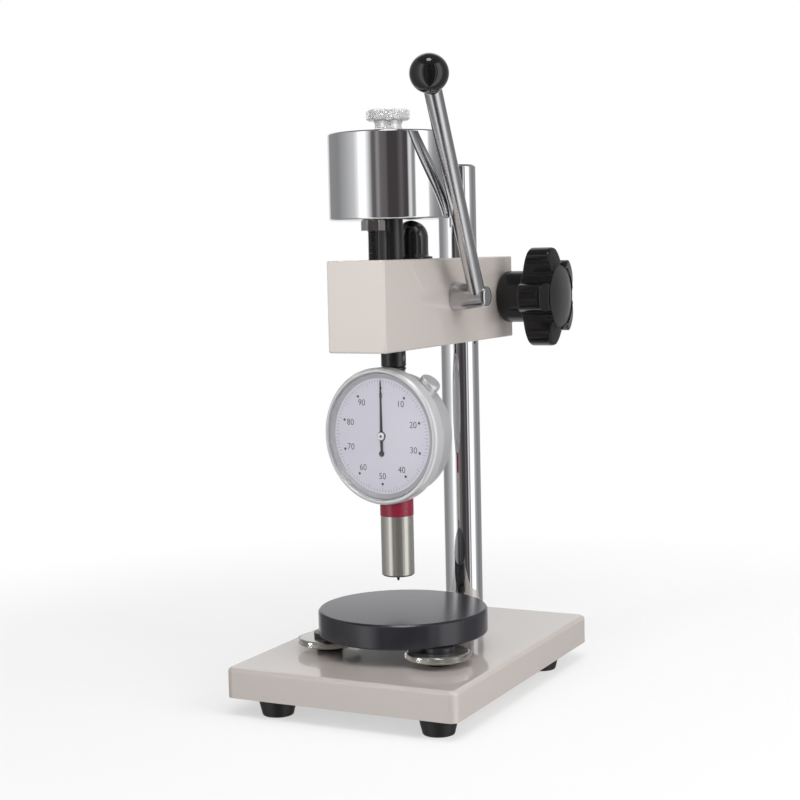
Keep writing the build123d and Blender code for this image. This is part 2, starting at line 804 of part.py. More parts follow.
def gear(teeth, pitch_r, back, front, first, x=0.0, z=0.0):
    """Spur gear about the dial's normal with one tooth at the first angle, seen from the front."""
    pitch = 2 * pi * pitch_r / teeth
    tip = pitch_r + tooth_rise
    root = pitch_r - tooth_depth
    foot_half = pitch * (2 * tooth_share - tooth_tip_share) / 2 / root
    tip_half = pitch * tooth_tip_share / 2 / tip
    corners = []
    for k in range(teeth):
        a = first + 2 * pi * k / teeth
        for r, turn in ((root, -foot_half), (tip, -tip_half), (tip, tip_half), (root, foot_half)):
            corners.append((r * cos(a + turn), r * sin(a + turn)))
    blank = extrude(make_face(Polyline(*corners, close=True)), front - back)
    return Pos(x, spindle_y - back, dial_z + z) * Rot(90, 0, 0) * blank


def centre_line_angle():
    """Direction from the idler's arbor to the pointer's arbor, seen from the front."""
    x, z = gear_axis()
    return atan2(-z, -x)


def pointer_arbor():
    shaft = forward(arbor_d / 2, -back_plate_at + seat_gap,
                    dial_plane + pointer_gap + 3 * pointer_thickness)
    wheel = gear(centre_teeth, centre_pitch_r, gear_at, gear_at + gear_thickness, centre_line_angle() + pi)
    return shaft + wheel


def gear_axis():
    """Place of the idler's arbor beside the rack, one centre distance from the pointer's arbor."""
    x = rack_pitch_at + pinion_pitch_r
    return x, -sqrt((wheel_pitch_r + centre_pitch_r) ** 2 - x ** 2)


def idler_gear():
    x, z = gear_axis()
    arbor = forward(arbor_d / 2, -back_plate_at + seat_gap, front_plate_at + plate_thickness - seat_gap, x, z)
    # a gap of the wheel meets a tooth of the pointer's pinion, and a pinion tooth a gap of the rack
    gap = centre_line_angle() + pi / wheel_teeth
    wheel = gear(wheel_teeth, wheel_pitch_r, gear_at, gear_at + gear_thickness, gap, x, z)
    hub = forward(pinion_pitch_r - tooth_depth, pinion_half_width, gear_at, x, z)
    pinion = gear(idler_pinion_teeth, pinion_pitch_r, -pinion_half_width, pinion_half_width, pi, x, z)
    return arbor + wheel + hub + pinion


def arbor_holes():
    x, z = gear_axis()
    hole = forward(arbor_d / 2 + running, -case_back, dial_plane)
    return hole + forward(arbor_d / 2 + running, -case_back, dial_plane, x, z)


def pillar_places():
    r = pillar_circle_d / 2
    return [(r * cos(radians(90 + 120 * k)), r * sin(radians(90 + 120 * k))) for k in range(3)]


def movement_front_plate():
    plate = forward(plate_d / 2, front_plate_at, front_plate_at + plate_thickness)
    return plate - arbor_holes()


def movement_back_plate():
    plate = forward(plate_d / 2, -back_plate_at, -back_plate_at + plate_thickness)
    for x, z in pillar_places():
        plate -= forward(pillar_d / 2 + running / 5, -case_back, front_plate_at, x, z)
    return plate - arbor_holes()


def movement_pillars():
    low = -back_plate_at - seat_gap
    return group([forward(pillar_d / 2, low, front_plate_at, x, z) for x, z in pillar_places()])


def rack_stem():
    low = foot_z + foot_plate + barrel_bore_d / 2
    high = dial_z - stem_below_arbor
    stem = along_z(rack_stem_d / 2, low, high, y=spindle_y)
    x, z = gear_axis()
    flat_low = dial_z + z - (rack_grooves_below + 1) * rack_pitch
    across = spindle_y - rack_stem_d, spindle_y + rack_stem_d
    stem -= block(rack_pitch_at + tooth_rise, rack_stem_d, *across, flat_low, high + over)
    for k in range(-rack_grooves_below, rack_grooves_above + 1):
        stem -= rack_groove(dial_z + z + k * rack_pitch)
    stem += along_z(rack_stem_d / 2 + rack_foot, low, low + rack_foot, y=spindle_y)
    return stem - along_z(indenter_d / 2 + running / 5, low - over, low + rack_pin_grip, y=spindle_y)


def rack_groove(middle):
    """One gap between two rack teeth, cut across the stem's flat."""
    mouth = rack_pitch * (1 - tooth_tip_share) / 2
    floor = rack_pitch * (1 - 2 * tooth_share + tooth_tip_share) / 2
    deep = rack_pitch_at - tooth_depth
    open_end = rack_pitch_at + tooth_rise
    outline = Polyline((deep, middle - floor), (open_end, middle - mouth), (open_end, middle + mouth),
                       (deep, middle + floor), close=True)
    cut = extrude(make_face(Plane.XZ * outline), rack_stem_d, both=True)
    return Pos(0, spindle_y, 0) * cut


def indenter_pin():
    low = foot_z - indenter_reach
    cone = (indenter_d - indenter_tip_d) / 2 / tan(radians(indenter_cone_angle / 2))
    high = foot_z + foot_plate + barrel_bore_d / 2 + rack_pin_grip - face_gap
    return turned_part([(0, low), (indenter_tip_d / 2, low), (indenter_d / 2, low + cone),
                        (indenter_d / 2, high), (0, high)], y=spindle_y)


def indenter_spring():
    low = foot_z + foot_plate + barrel_bore_d / 2 + rack_foot + seat_gap
    high = foot_z + barrel_length
    return helix_spring(indenter_spring_wire, indenter_spring_d, low, high, indenter_spring_turns,
                        0, spindle_y)


def build():
    """Every piece of the stand by the name of its node."""
    nodes = {
        "base_plate": base_plate(),
        "rubber_feet": rubber_feet(),
        "foot_screws": foot_screws(),
        "column": column(),
        "column_screw": column_screw(),
        "platen": platen(),
        "platen_bosses": platen_bosses(),
        "levelling_pads": levelling_pads(),
        "levelling_screw_right": levelling_screw(0),
        "levelling_screw_rear": levelling_screw(1),
        "levelling_screw_left": levelling_screw(2),
        "arm_block": arm_block(),
        "upper_spindle_bush": spindle_bush(arm_top - bush_length),
        "lower_spindle_bush": spindle_bush(arm_bottom),
        "left_shaft_bush": shaft_bush(-side),
        "right_shaft_bush": shaft_bush(side - shaft_bush_length),
        "stop_screw": stop_screw(),
        "rubber_buffer": rubber_buffer(),
        "buffer_stud": buffer_stud(),
        "lever_shaft": lever_shaft(),
        "lever_rod": lever_rod(),
        "ball_knob": ball_knob(),
        "lifting_arm": lifting_arm(),
        "lifting_arm_pin": lift_pin(),
        "shaft_circlip": shaft_circlip(),
        "star_knob": star_knob(),
        "clamp_screw": clamp_screw(),
        "spindle": spindle(),
        "stem_set_screw": stem_set_screw(),
        "weight": weight(),
        "weight_thumbscrew": weight_thumbscrew(),
    }
    durometer = {
        "durometer_case": durometer_case(),
        "back_cover": back_cover(),
        "back_screws": back_screws(),
        "durometer_stem": durometer_stem(),
        "presser_barrel": presser_barrel(),
        "neck_band": neck_band(),
        "bezel_clamp": bezel_clamp(),
        "bezel": bezel(),
        "crystal": crystal(),
        "dial_plate": dial_plate(),
        "pointer": pointer(),
        "pointer_arbor": pointer_arbor(),
        "idler_gear": idler_gear(),
        "movement_front_plate": movement_front_plate(),
        "movement_back_plate": movement_back_plate(),
        "movement_pillars": movement_pillars(),
        "rack_stem": rack_stem(),
        "indenter_pin": indenter_pin(),
        "indenter_spring": indenter_spring(),
    }
    for name, solid in durometer.items():
        nodes[name] = faced(solid)
    return nodes


os.makedirs("parts", exist_ok=True)
for name, solid in build().items():
    export_step(solid, f"parts/{name}.step")
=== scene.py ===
from math import asin, cos, pi, radians, sin, sqrt

import bmesh
import bpy
from mathutils import Matrix, Vector


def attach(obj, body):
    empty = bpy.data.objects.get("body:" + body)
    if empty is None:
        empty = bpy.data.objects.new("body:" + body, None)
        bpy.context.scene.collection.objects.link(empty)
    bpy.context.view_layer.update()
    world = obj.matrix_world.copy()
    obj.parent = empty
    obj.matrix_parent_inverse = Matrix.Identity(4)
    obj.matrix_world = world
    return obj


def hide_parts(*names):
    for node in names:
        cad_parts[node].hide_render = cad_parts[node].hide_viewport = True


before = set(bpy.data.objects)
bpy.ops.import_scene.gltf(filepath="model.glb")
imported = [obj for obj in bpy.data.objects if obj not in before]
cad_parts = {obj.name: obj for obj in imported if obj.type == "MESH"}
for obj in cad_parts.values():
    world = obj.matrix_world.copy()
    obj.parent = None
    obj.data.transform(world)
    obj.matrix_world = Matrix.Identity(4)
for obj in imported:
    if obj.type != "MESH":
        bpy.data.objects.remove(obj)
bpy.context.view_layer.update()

# The studio: a pale floor, even white light from all round and three soft lamps.
# The camera stands in front of the stand's lever side, a little above the arm.
scene = bpy.context.scene
scene.view_settings.view_transform = "Standard"


def linked(name, data):
    """New object in the scene."""
    made = bpy.data.objects.new(name, data)
    scene.collection.objects.link(made)
    return made


camera_place = Vector((0.32382, -0.67059, 0.19655))
camera_yaw, camera_pitch, camera_roll = radians(26.55), radians(5.14), radians(-1.27)
ahead = Vector((-sin(camera_yaw) * cos(camera_pitch), cos(camera_yaw) * cos(camera_pitch),
                -sin(camera_pitch)))
right = Vector((cos(camera_yaw), sin(camera_yaw), 0))
up = right.cross(ahead)
right, up = (cos(camera_roll) * right + sin(camera_roll) * up,
             -sin(camera_roll) * right + cos(camera_roll) * up)
lens = bpy.data.cameras.new("camera")
lens.lens = 73.90
lens.sensor_width = 36.0
lens.clip_start = 0.01
camera = linked("camera", lens)
camera.matrix_world = Matrix((right, up, -ahead)).transposed().to_4x4()
camera.matrix_world.translation = camera_place
scene.camera = camera


def node(tree, kind, inputs=None, **settings):
    """New shader or geometry node with its settings and the values of its inputs."""
    made = tree.nodes.new(kind)
    for name, value in settings.items():
        setattr(made, name, value)
    for name, value in (inputs or {}).items():
        made.inputs[name].default_value = value
    return made


def wire(tree, *links):
    """Links in a node tree, each given as a node, its output, the next node and its input."""
    for start, given, end, taken in links:
        tree.links.new(start.outputs[given], end.inputs[taken])


world = bpy.data.worlds.new("white_studio")
scene.world = world
world.use_nodes = True
sky = world.node_tree
sky.nodes.clear()
white = (1.0, 1.0, 1.0, 1.0)
sky_out = node(sky, "ShaderNodeOutputWorld")
sky_light = node(sky, "ShaderNodeBackground", {"Color": white, "Strength": 0.50})
sky_seen = node(sky, "ShaderNodeBackground", {"Color": white})
sky_mirror = node(sky, "ShaderNodeBackground")
sky_ray = node(sky, "ShaderNodeLightPath")
sky_mix_seen = node(sky, "ShaderNodeMixShader")
sky_mix_mirror = node(sky, "ShaderNodeMixShader")
# soft boxes stand left and right of a dark room, as seen from the stand: degrees to the right, brightness
bands = [(-180, 0.80), (-158, 0.80), (-148, 0.28), (-112, 0.26), (-89, 0.41), (-70, 0.60), (-62, 0.90),
         (-58, 1.25), (-47, 1.25), (-37, 0.50), (-32, 0.12), (-27, 0.11), (-22, 0.30), (-16, 0.13),
         (-6, 0.11), (-2, 0.05), (14, 0.05), (22, 0.12), (28, 0.06), (34, 0.06), (37, 0.75), (41, 0.75),
         (43, 0.28), (48, 0.28), (51, 1.25), (76, 1.25), (81, 0.55), (92, 0.32), (110, 0.22), (131, 0.30),
         (150, 0.26), (160, 0.80)]
room_turn = radians(63.3)
sky_where = node(sky, "ShaderNodeTexCoord")
sky_turn = node(sky, "ShaderNodeMapping", {"Rotation": (0.0, 0.0, room_turn)})
sky_round = node(sky, "ShaderNodeTexGradient", gradient_type="RADIAL")
sky_bands = node(sky, "ShaderNodeValToRGB")
ramp = sky_bands.color_ramp
ramp.interpolation = "LINEAR"
while len(ramp.elements) > 1:
    ramp.elements.remove(ramp.elements[-1])
for k, (turn, level) in enumerate(bands):
    stop = ramp.elements[0] if k == 0 else ramp.elements.new(0.5 + turn / 360.0)
    stop.position = 0.5 + turn / 360.0
    redness = 1.10 if level < 0.2 else 0.98
    stop.color = (level * redness, level * 0.985, level, 1.0)
# the boxes reach halfway up the room, and one small round lamp hangs over the stand
boxes_fade, boxes_top, dim_ceiling = 0.66, 0.78, (0.16, 0.16, 0.165, 1.0)
lamp_edge, lamp_core, lamp_glow = 0.980, 0.988, (5.0, 5.0, 5.0, 1.0)
lamp_way = Vector((0.09, -0.19, 0.977)).normalized()
sky_rise = node(sky, "ShaderNodeSeparateXYZ")
sky_high = node(sky, "ShaderNodeMapRange", {"From Min": boxes_top, "From Max": boxes_fade},
                interpolation_type="SMOOTHSTEP")
sky_boxes = node(sky, "ShaderNodeMix", {6: dim_ceiling}, data_type="RGBA")
sky_lamp_way = node(sky, "ShaderNodeVectorMath", {1: lamp_way}, operation="DOT_PRODUCT")
sky_lamp = node(sky, "ShaderNodeMapRange", {"From Min": lamp_edge, "From Max": lamp_core},
                interpolation_type="SMOOTHSTEP")
sky_whole = node(sky, "ShaderNodeMix", {7: lamp_glow}, data_type="RGBA")
wire(sky, (sky_where, "Generated", sky_turn, "Vector"), (sky_turn, "Vector", sky_round, "Vector"),
     (sky_round, "Fac", sky_bands, "Fac"), (sky_where, "Generated", sky_rise, "Vector"),
     (sky_rise, "Z", sky_high, "Value"), (sky_high, "Result", sky_boxes, 0),
     (sky_bands, "Color", sky_boxes, 7), (sky_where, "Generated", sky_lamp_way, 0),
     (sky_lamp_way, "Value", sky_lamp, "Value"), (sky_lamp, "Result", sky_whole, 0),
     (sky_boxes, 2, sky_whole, 6), (sky_whole, 2, sky_mirror, "Color"),
     (sky_ray, "Is Glossy Ray", sky_mix_mirror, "Fac"), (sky_light, "Background", sky_mix_mirror, 1),
     (sky_mirror, "Background", sky_mix_mirror, 2), (sky_ray, "Is Camera Ray", sky_mix_seen, "Fac"),
     (sky_mix_mirror, "Shader", sky_mix_seen, 1), (sky_seen, "Background", sky_mix_seen, 2),
     (sky_mix_seen, "Shader", sky_out, "Surface"))


def soft_lamp(name, place, aim, size, power, spread=180):
    """Square soft lamp aimed at a point; mirrors don't show it."""
    lamp = bpy.data.lights.new(name, "AREA")
    lamp.shape = "SQUARE"
    lamp.size = size
    lamp.energy = power
    lamp.spread = radians(spread)
    held = linked(name, lamp)
    held.matrix_world = (Vector(aim) - Vector(place)).to_track_quat("-Z", "Y").to_matrix().to_4x4()
    held.matrix_world.translation = place
    held.visible_glossy = False


soft_lamp("lamp_above", (0.25, -0.35, 1.15), aim=(0.0, 0.0, 0.12), size=0.8, power=7.2)
soft_lamp("lamp_left", (-0.30, -0.85, 0.42), aim=(0.0, -0.06, 0.20), size=0.25, power=0.115, spread=20)
soft_lamp("lamp_right", (1.0, -0.15, 0.50), aim=(0.0, 0.0, 0.14), size=0.7, power=7.0)


def blank_material(name):
    """New material and its empty node tree."""
    made = bpy.data.materials.new(name)
    made.use_nodes = True
    made.node_tree.nodes.clear()
    return made, made.node_tree


floor_mesh = bpy.data.meshes.new("studio_floor")
floor_mesh.from_pydata([(-3, -3, 0), (3, -3, 0), (3, 3, 0), (-3, 3, 0)], [], [(0, 1, 2, 3)])
studio_floor = linked("studio_floor", floor_mesh)
floor_paper, paper = blank_material("white_paper")
paper_out = node(paper, "ShaderNodeOutputMaterial")
paper_matt = node(paper, "ShaderNodeBsdfDiffuse", {"Color": (0.80, 0.80, 0.80, 1.0)})
paper_glow = node(paper, "ShaderNodeEmission")
paper_mix = node(paper, "ShaderNodeMixShader")
paper_ray = node(paper, "ShaderNodeLightPath")
paper_cut = node(paper, "ShaderNodeMath", operation="MULTIPLY")
# the paper clears to plain white away from the stand, so no edge of it is seen
paper_where = node(paper, "ShaderNodeTexCoord")
paper_far = node(paper, "ShaderNodeVectorMath", operation="LENGTH")
paper_clear = node(paper, "ShaderNodeMapRange",
                   {"From Min": 0.16, "From Max": 0.42, "To Min": 0.55, "To Max": 1.0},
                   interpolation_type="SMOOTHSTEP")
wire(paper, (paper_where, "Object", paper_far, 0), (paper_far, "Value", paper_clear, "Value"),
     (paper_ray, "Is Camera Ray", paper_cut, 0), (paper_clear, "Result", paper_cut, 1),
     (paper_cut, "Value", paper_mix, "Fac"), (paper_matt, "BSDF", paper_mix, 1),
     (paper_glow, "Emission", paper_mix, 2), (paper_mix, "Shader", paper_out, "Surface"))
studio_floor.data.materials.append(floor_paper)
studio_floor.visible_glossy = False

# The base plate: a machined steel plate with rounded edges in warm grey gloss paint.
# The column stands in its rear half and four rubber feet carry it.


def new_group(name, kind, inputs, outputs):
    """New node group with its named sockets, and its two end nodes."""
    g = bpy.data.node_groups.new(name, kind)
    for way, sockets in (("INPUT", inputs), ("OUTPUT", outputs)):
        for label, socket in sockets.items():
            g.interface.new_socket(label, in_out=way, socket_type="NodeSocket" + socket)
    return g, node(g, "NodeGroupInput"), node(g, "NodeGroupOutput")


# slow and fine unevenness of a finish: a value for its gloss, one for its height and a mask for its colour
patchy, given, result = new_group(
    "patchy_finish", "ShaderNodeTree",
    {"Vector": "Vector", "Patch Scale": "Float", "Grain Scale": "Float", "Low": "Float", "High": "Float"},
    {"Patch": "Float", "Grain": "Float", "Mask": "Float"})
slow_noise = node(patchy, "ShaderNodeTexNoise", {"Detail": 4.0})
fine_noise = node(patchy, "ShaderNodeTexNoise", {"Detail": 2.0})
noise_range = node(patchy, "ShaderNodeMapRange", {"From Min": 0.3, "From Max": 0.7})
wire(patchy, (given, "Vector", slow_noise, "Vector"), (given, "Vector", fine_noise, "Vector"),
     (given, "Patch Scale", slow_noise, "Scale"), (given, "Grain Scale", fine_noise, "Scale"),
     (slow_noise, "Fac", noise_range, "Value"), (given, "Low", noise_range, "To Min"),
     (given, "High", noise_range, "To Max"), (noise_range, "Result", result, "Patch"),
     (fine_noise, "Fac", result, "Grain"), (slow_noise, "Fac", result, "Mask"))


def srgb(r, g, b):
    """Colour read off as 0 to 255 sRGB, as the linear colour that a shader takes."""
    def lin(c):
        c = c / 255.0
        return c / 12.92 if c <= 0.04045 else ((c + 0.055) / 1.055) ** 2.4
    return (lin(r), lin(g), lin(b), 1.0)


def finish(name, colour, low, high, patch, grain, depth, tint, metallic=0.0, coat=0.0, coat_rough=0.05,
           specular=0.5):
    """Finish whose roughness wanders from low to high and its colour by the tint, over a fine grain."""
    m, t = blank_material(name)
    out = node(t, "ShaderNodeOutputMaterial")
    bsdf = node(t, "ShaderNodeBsdfPrincipled", {"Metallic": metallic, "Coat Weight": coat,
                                                "Coat Roughness": coat_rough, "Specular IOR Level": specular})
    where = node(t, "ShaderNodeTexCoord")
    uneven = node(t, "ShaderNodeGroup",
                  {"Patch Scale": patch, "Grain Scale": grain, "Low": low, "High": high}, node_tree=patchy)
    shade = node(t, "ShaderNodeMix", {6: [c * (1 - tint) for c in colour[:3]] + [1.0],
                                      7: [min(1.0, c * (1 + tint)) for c in colour[:3]] + [1.0]},
                 data_type="RGBA")
    bump = node(t, "ShaderNodeBump", {"Strength": 1.0, "Distance": depth * 0.001})
    wire(t, (where, "Object", uneven, "Vector"), (uneven, "Mask", shade, 0), (shade, 2, bsdf, "Base Color"),
         (uneven, "Patch", bsdf, "Roughness"), (uneven, "Grain", bump, "Height"),
         (bump, "Normal", bsdf, "Normal"), (bsdf, "BSDF", out, "Surface"))
    return m


def dress(material, *names):
    """Give CAD nodes their finish."""
    for name in names:
        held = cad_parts[name]
        held.data.materials.clear()
        held.data.materials.append(material)


stand_paint = finish("warm_grey_gloss_paint", srgb(184, 176, 171), 0.30, 0.36, patch=14, grain=520,
                     depth=0.004, tint=0.012, coat=1.0, coat_rough=0.04)
dress(stand_paint, "base_plate")

# The feet: tapered black rubber, each held up to the plate by a pan-head screw in its recess.
# They are moulded, so the edges are soft and the rubber is dull.


def as_piece(name, mesh, body, material, nodes):
    """Finished piece: named object at the origin with its finish, riding on its body."""
    piece = linked(name, mesh)
    piece.data.materials.clear()
    piece.data.materials.append(material)
    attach(piece, body)
    if nodes:
        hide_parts(*nodes)


def as_mesh(name, bm):
    """The finished edit mesh as a mesh."""
    mesh = bpy.data.meshes.new(name)
    bm.to_mesh(mesh)
    bm.free()
    return mesh


def at(x, y, z):
    """Place in millimetres."""
    return Matrix.Translation((x * 0.001, y * 0.001, z * 0.001))


def rounded(points, radius):
    """The outline with its corners eased by a radius, the first and last points kept."""
    steps = 4
    out = [Vector(points[0])]
    for a, p, b in zip(points, points[1:], points[2:]):
        a, p, b = Vector(a), Vector(p), Vector(b)
        to_a, to_b = a - p, b - p
        reach = min(radius, to_a.length * 0.48, to_b.length * 0.48)
        if reach < 1e-4:
            out.append(p)
            continue
        s, e = p + to_a.normalized() * reach, p + to_b.normalized() * reach
        for k in range(steps + 1):
            f = k / steps
            out.append(s * (1 - f) ** 2 + p * 2 * f * (1 - f) + e * f * f)
    out.append(Vector(points[-1]))
    return out


sharp_angle = 28


def skinned(name, rows, place, crease=sharp_angle, ring=False, weld=False, cap=False):
    """Smooth mesh over rows of points in millimetres, then put in place. A row of one point closes an end."""
    bm = bmesh.new()
    rows = [[bm.verts.new([c * 0.001 for c in point]) for point in row] for row in rows]
    if cap:
        bm.faces.new(rows[0])
    if ring:
        rows.append(rows[0])
    for low, high in zip(rows, rows[1:]):
        count = max(len(low), len(high))
        for k in range(count):
            j = (k + 1) % count
            corners = []
            for v in (low[k % len(low)], low[j % len(low)], high[j % len(high)], high[k % len(high)]):
                if v not in corners:
                    corners.append(v)
            if len(corners) > 2:
                bm.faces.new(corners)
    if weld:
        bmesh.ops.remove_doubles(bm, verts=bm.verts, dist=1e-7)
    bmesh.ops.recalc_face_normals(bm, faces=bm.faces)
    mesh = as_mesh(name, bm)
    if place is not None:
        mesh.transform(place)
    mesh.shade_smooth()
    mesh.set_sharp_from_angle(angle=radians(crease))
    return mesh


def turned_mesh(name, outline, place, segments, ring=False):
    """Turned shape from (radius, height) millimetres about Z. A ring outline closes on itself."""
    turns = [2 * pi * k / segments for k in range(segments)]
    rows = [[(0, 0, h)] if r < 1e-5 else [(r * cos(a), r * sin(a), h) for a in turns] for r, h in outline]
    return skinned(name, rows, place, ring=ring, weld=True)


def join_meshes(name, meshes):
    """Several meshes as one."""
    bm = bmesh.new()
    for m in meshes:
        bm.from_mesh(m)
    mesh = as_mesh(name, bm)
    mesh.set_sharp_from_angle(angle=radians(sharp_angle))
    return mesh


foot_places = [(41.4, 37.27), (41.4, -76.53), (-34.8, 37.27), (-34.8, -76.53)]
recess_top = 4.0
foot_outline = rounded([(2.05, recess_top), (4.05, recess_top), (4.05, 0.0), (6.65, 0.0), (8.5, 7.6),
                        (8.2, 8.0), (2.05, 8.0)], 0.6)
black_rubber = finish("black_rubber", srgb(26, 26, 27), 0.42, 0.60, patch=120, grain=1800, depth=0.03,
                      tint=0.15)
feet = [turned_mesh("foot", foot_outline, at(x, y, 0), 64, ring=True) for x, y in foot_places]
as_piece("rubber_feet_set", join_meshes("rubber_feet_set", feet), "stand", black_rubber, ["rubber_feet"])


def settled(held):
    """The object's mesh with its modifiers worked in; the object goes."""
    bpy.context.view_layer.update()
    mesh = bpy.data.meshes.new_from_object(held.evaluated_get(bpy.context.evaluated_depsgraph_get()))
    bpy.data.objects.remove(held)
    return mesh


def cross_head(name, r, height, place, slot_width, slot_reach):
    """Head of a pan-head screw with a cross recess; it stands up Z from the place."""
    outline = rounded([(0, height), (r * 0.62, height), (r * 0.94, height * 0.55), (r, 0.0)], r * 0.25)
    outline = [Vector((max(p.x, 0), p.y)) for p in outline] + [Vector((0, 0))]
    head = linked(name, turned_mesh(name, outline, None, 40))
    cutters = []
    for turn in (20, 110):
        bm = bmesh.new()
        bmesh.ops.create_cube(bm, size=1.0)
        bmesh.ops.scale(bm, vec=(r * slot_reach * 2e-3, slot_width * 1e-3, height * 1.1e-3), verts=bm.verts)
        bmesh.ops.translate(bm, vec=(0, 0, height * 1.02e-3), verts=bm.verts)
        bmesh.ops.rotate(bm, cent=(0, 0, 0), matrix=Matrix.Rotation(radians(turn), 3, "Z"), verts=bm.verts)
        cutters.append(linked("slot", as_mesh("slot", bm)))
        cut = head.modifiers.new("slot", "BOOLEAN")
        cut.operation = "DIFFERENCE"
        cut.solver = "EXACT"
        cut.object = cutters[-1]
    mesh = settled(head)
    for cutter in cutters:
        bpy.data.objects.remove(cutter)
    mesh.name = name
    mesh.transform(place)
    mesh.set_sharp_from_angle(angle=radians(sharp_angle))
    return mesh


plain_steel = finish("plain_steel", srgb(176, 176, 174), 0.28, 0.42, patch=260, grain=2600, depth=0.008,
                     tint=0.08, metallic=1.0)
down = Matrix.Rotation(pi, 4, "X")
screws = [cross_head("foot_screw", 3.7, 2.3, at(x, y, recess_top) @ down, slot_width=0.9, slot_reach=0.62)
          for x, y in foot_places]
as_piece("foot_screw_heads", join_meshes("foot_screw_heads", screws), "stand", plain_steel, ["foot_screws"])

# The column: ground steel rod, hard-chromed and polished, let into the plate and bolted from below.
# The top edge has a small turned chamfer.
column_y, column_foot, column_top, column_r = 42.469, 12.0, 237.0, 9.0


def chrome_finish(name, level, low, high, patch):
    """Polished chrome with faint wiping marks."""
    return finish(name, (level, level, level * 1.01, 1.0), low, high, patch=patch, grain=1500, depth=0.0006,
                  tint=0.02, metallic=1.0)


def turned_piece(name, outline, place, segments, body, material, nodes, ring=False):
    """Piece that is one turned shape."""
    as_piece(name, turned_mesh(name, outline, place, segments, ring), body, material, nodes)


chrome = chrome_finish("polished_chrome", 0.86, 0.03, 0.07, 22.0)
column_outline = rounded([(0, column_foot), (column_r, column_foot), (column_r, column_top - 1.0),
                          (column_r - 1.0, column_top), (0, column_top)], 0.35)
turned_piece("chromed_column", column_outline, at(0, column_y, 0), 128, "stand", chrome, ["column"])
dress(plain_steel, "column_screw")

# The levelling screws: knurled steel wheels on threaded studs, each on a black pad.
# The rim has a diamond knurl, and the stud runs up into a boss under the table.
table_x, table_y, table_low = 1.9, -28.031, 28.9
level_r, level_z, level_thick, wheel_r, stud_top = 33.0, 23.55, 3.2, 14.0, 34.2
level_names = ["right", "rear", "left"]
level_places = [(table_x + level_r * cos(radians(a)), table_y + level_r * sin(radians(a)))
                for a in (-37, 83, 203)]


def feed(tree, kind, *values, **settings):
    """New node whose first inputs take these values or links; gives its first output."""
    made = node(tree, kind, **settings)
    for k, value in enumerate(values):
        if isinstance(value, (int, float)):
            made.inputs[k].default_value = value
        else:
            tree.links.new(value, made.inputs[k])
    return made.outputs[0]


def calc(tree, operation, *values):
    """Output of a sum worked out by a math node."""
    return feed(tree, "ShaderNodeMath", *values, operation=operation)


def set_out(tree, count, spot, shape, turn, size, coating, result):
    """Copies of a shape on points, made real and given their finish."""
    points, put = node(tree, "GeometryNodePoints"), node(tree, "GeometryNodeInstanceOnPoints")
    real, coat = node(tree, "GeometryNodeRealizeInstances"), node(tree, "GeometryNodeSetMaterial")
    for given, taken in ((count, points.inputs["Count"]), (spot, points.inputs["Position"]),
                         (points.outputs[0], put.inputs["Points"]), (shape, put.inputs["Instance"]),
                         (turn, put.inputs["Rotation"]), (size, put.inputs["Scale"]),
                         (put.outputs["Instances"], real.inputs["Geometry"]),
                         (real.outputs["Geometry"], coat.inputs["Geometry"]),
                         (coating, coat.inputs["Material"]),
                         (coat.outputs["Geometry"], result.inputs["Geometry"])):
        tree.links.new(given, taken)


def knurl_tree():
    """Diamond knurl: rows of small pyramids round a rim, every other row half a pitch on."""
    g, given, result = new_group("diamond_knurl", "GeometryNodeTree",
                                 {"Radius": "Float", "Height": "Float", "Low": "Float", "Count": "Int",
                                  "Rows": "Int", "Depth": "Float", "Finish": "Material"},
                                 {"Geometry": "Geometry"})
    g.is_modifier = True
    radius, count, rows = (given.outputs[name] for name in ("Radius", "Count", "Rows"))
    index = node(g, "GeometryNodeInputIndex").outputs[0]
    row = calc(g, "FLOOR", calc(g, "DIVIDE", calc(g, "ADD", index, 0.25), count))
    step = calc(g, "SUBTRACT", index, calc(g, "MULTIPLY", row, count))
    pitch = calc(g, "DIVIDE", 2 * pi, count)
    shift = calc(g, "MULTIPLY", calc(g, "MODULO", row, 2.0), 0.5)
    angle = calc(g, "MULTIPLY", calc(g, "ADD", step, shift), pitch)
    rise = calc(g, "DIVIDE", given.outputs["Height"], calc(g, "ADD", rows, 1.0))
    x = calc(g, "MULTIPLY", radius, calc(g, "COSINE", angle))
    y = calc(g, "MULTIPLY", radius, calc(g, "SINE", angle))
    z = calc(g, "ADD", given.outputs["Low"], calc(g, "MULTIPLY", calc(g, "ADD", row, 1.0), rise))
    cone = node(g, "GeometryNodeMeshCone", {"Vertices": 4, "Side Segments": 1, "Radius Top": 0.0})
    g.links.new(calc(g, "MULTIPLY", calc(g, "MULTIPLY", pitch, radius), 0.5), cone.inputs["Radius Bottom"])
    g.links.new(given.outputs["Depth"], cone.inputs["Depth"])
    tip = node(g, "FunctionNodeAlignRotationToVector", axis="Z")
    g.links.new(feed(g, "ShaderNodeCombineXYZ", x, y), tip.inputs["Vector"])
    # a pyramid reaches to the rows above and below it, and half a pitch to each side
    stretch = calc(g, "DIVIDE", calc(g, "MULTIPLY", rise, 2.0), calc(g, "MULTIPLY", pitch, radius))
    spot = feed(g, "ShaderNodeCombineXYZ", x, y, z)
    size = feed(g, "ShaderNodeCombineXYZ", stretch, 1.0, 1.0)
    set_out(g, calc(g, "MULTIPLY", count, rows), spot, cone.outputs["Mesh"], tip.outputs["Rotation"], size,
            given.outputs["Finish"], result)
    return g


def grown(name, tree, inputs):
    """Mesh that a Geometry Nodes tree makes from its named inputs."""
    seed = linked(name, bpy.data.meshes.new(name))
    made = seed.modifiers.new(name, "NODES")
    made.node_group = tree
    for socket in tree.interface.items_tree:
        if socket.in_out == "INPUT":
            made[socket.identifier] = inputs[socket.name]
    mesh = settled(seed)
    mesh.name = name
    return mesh


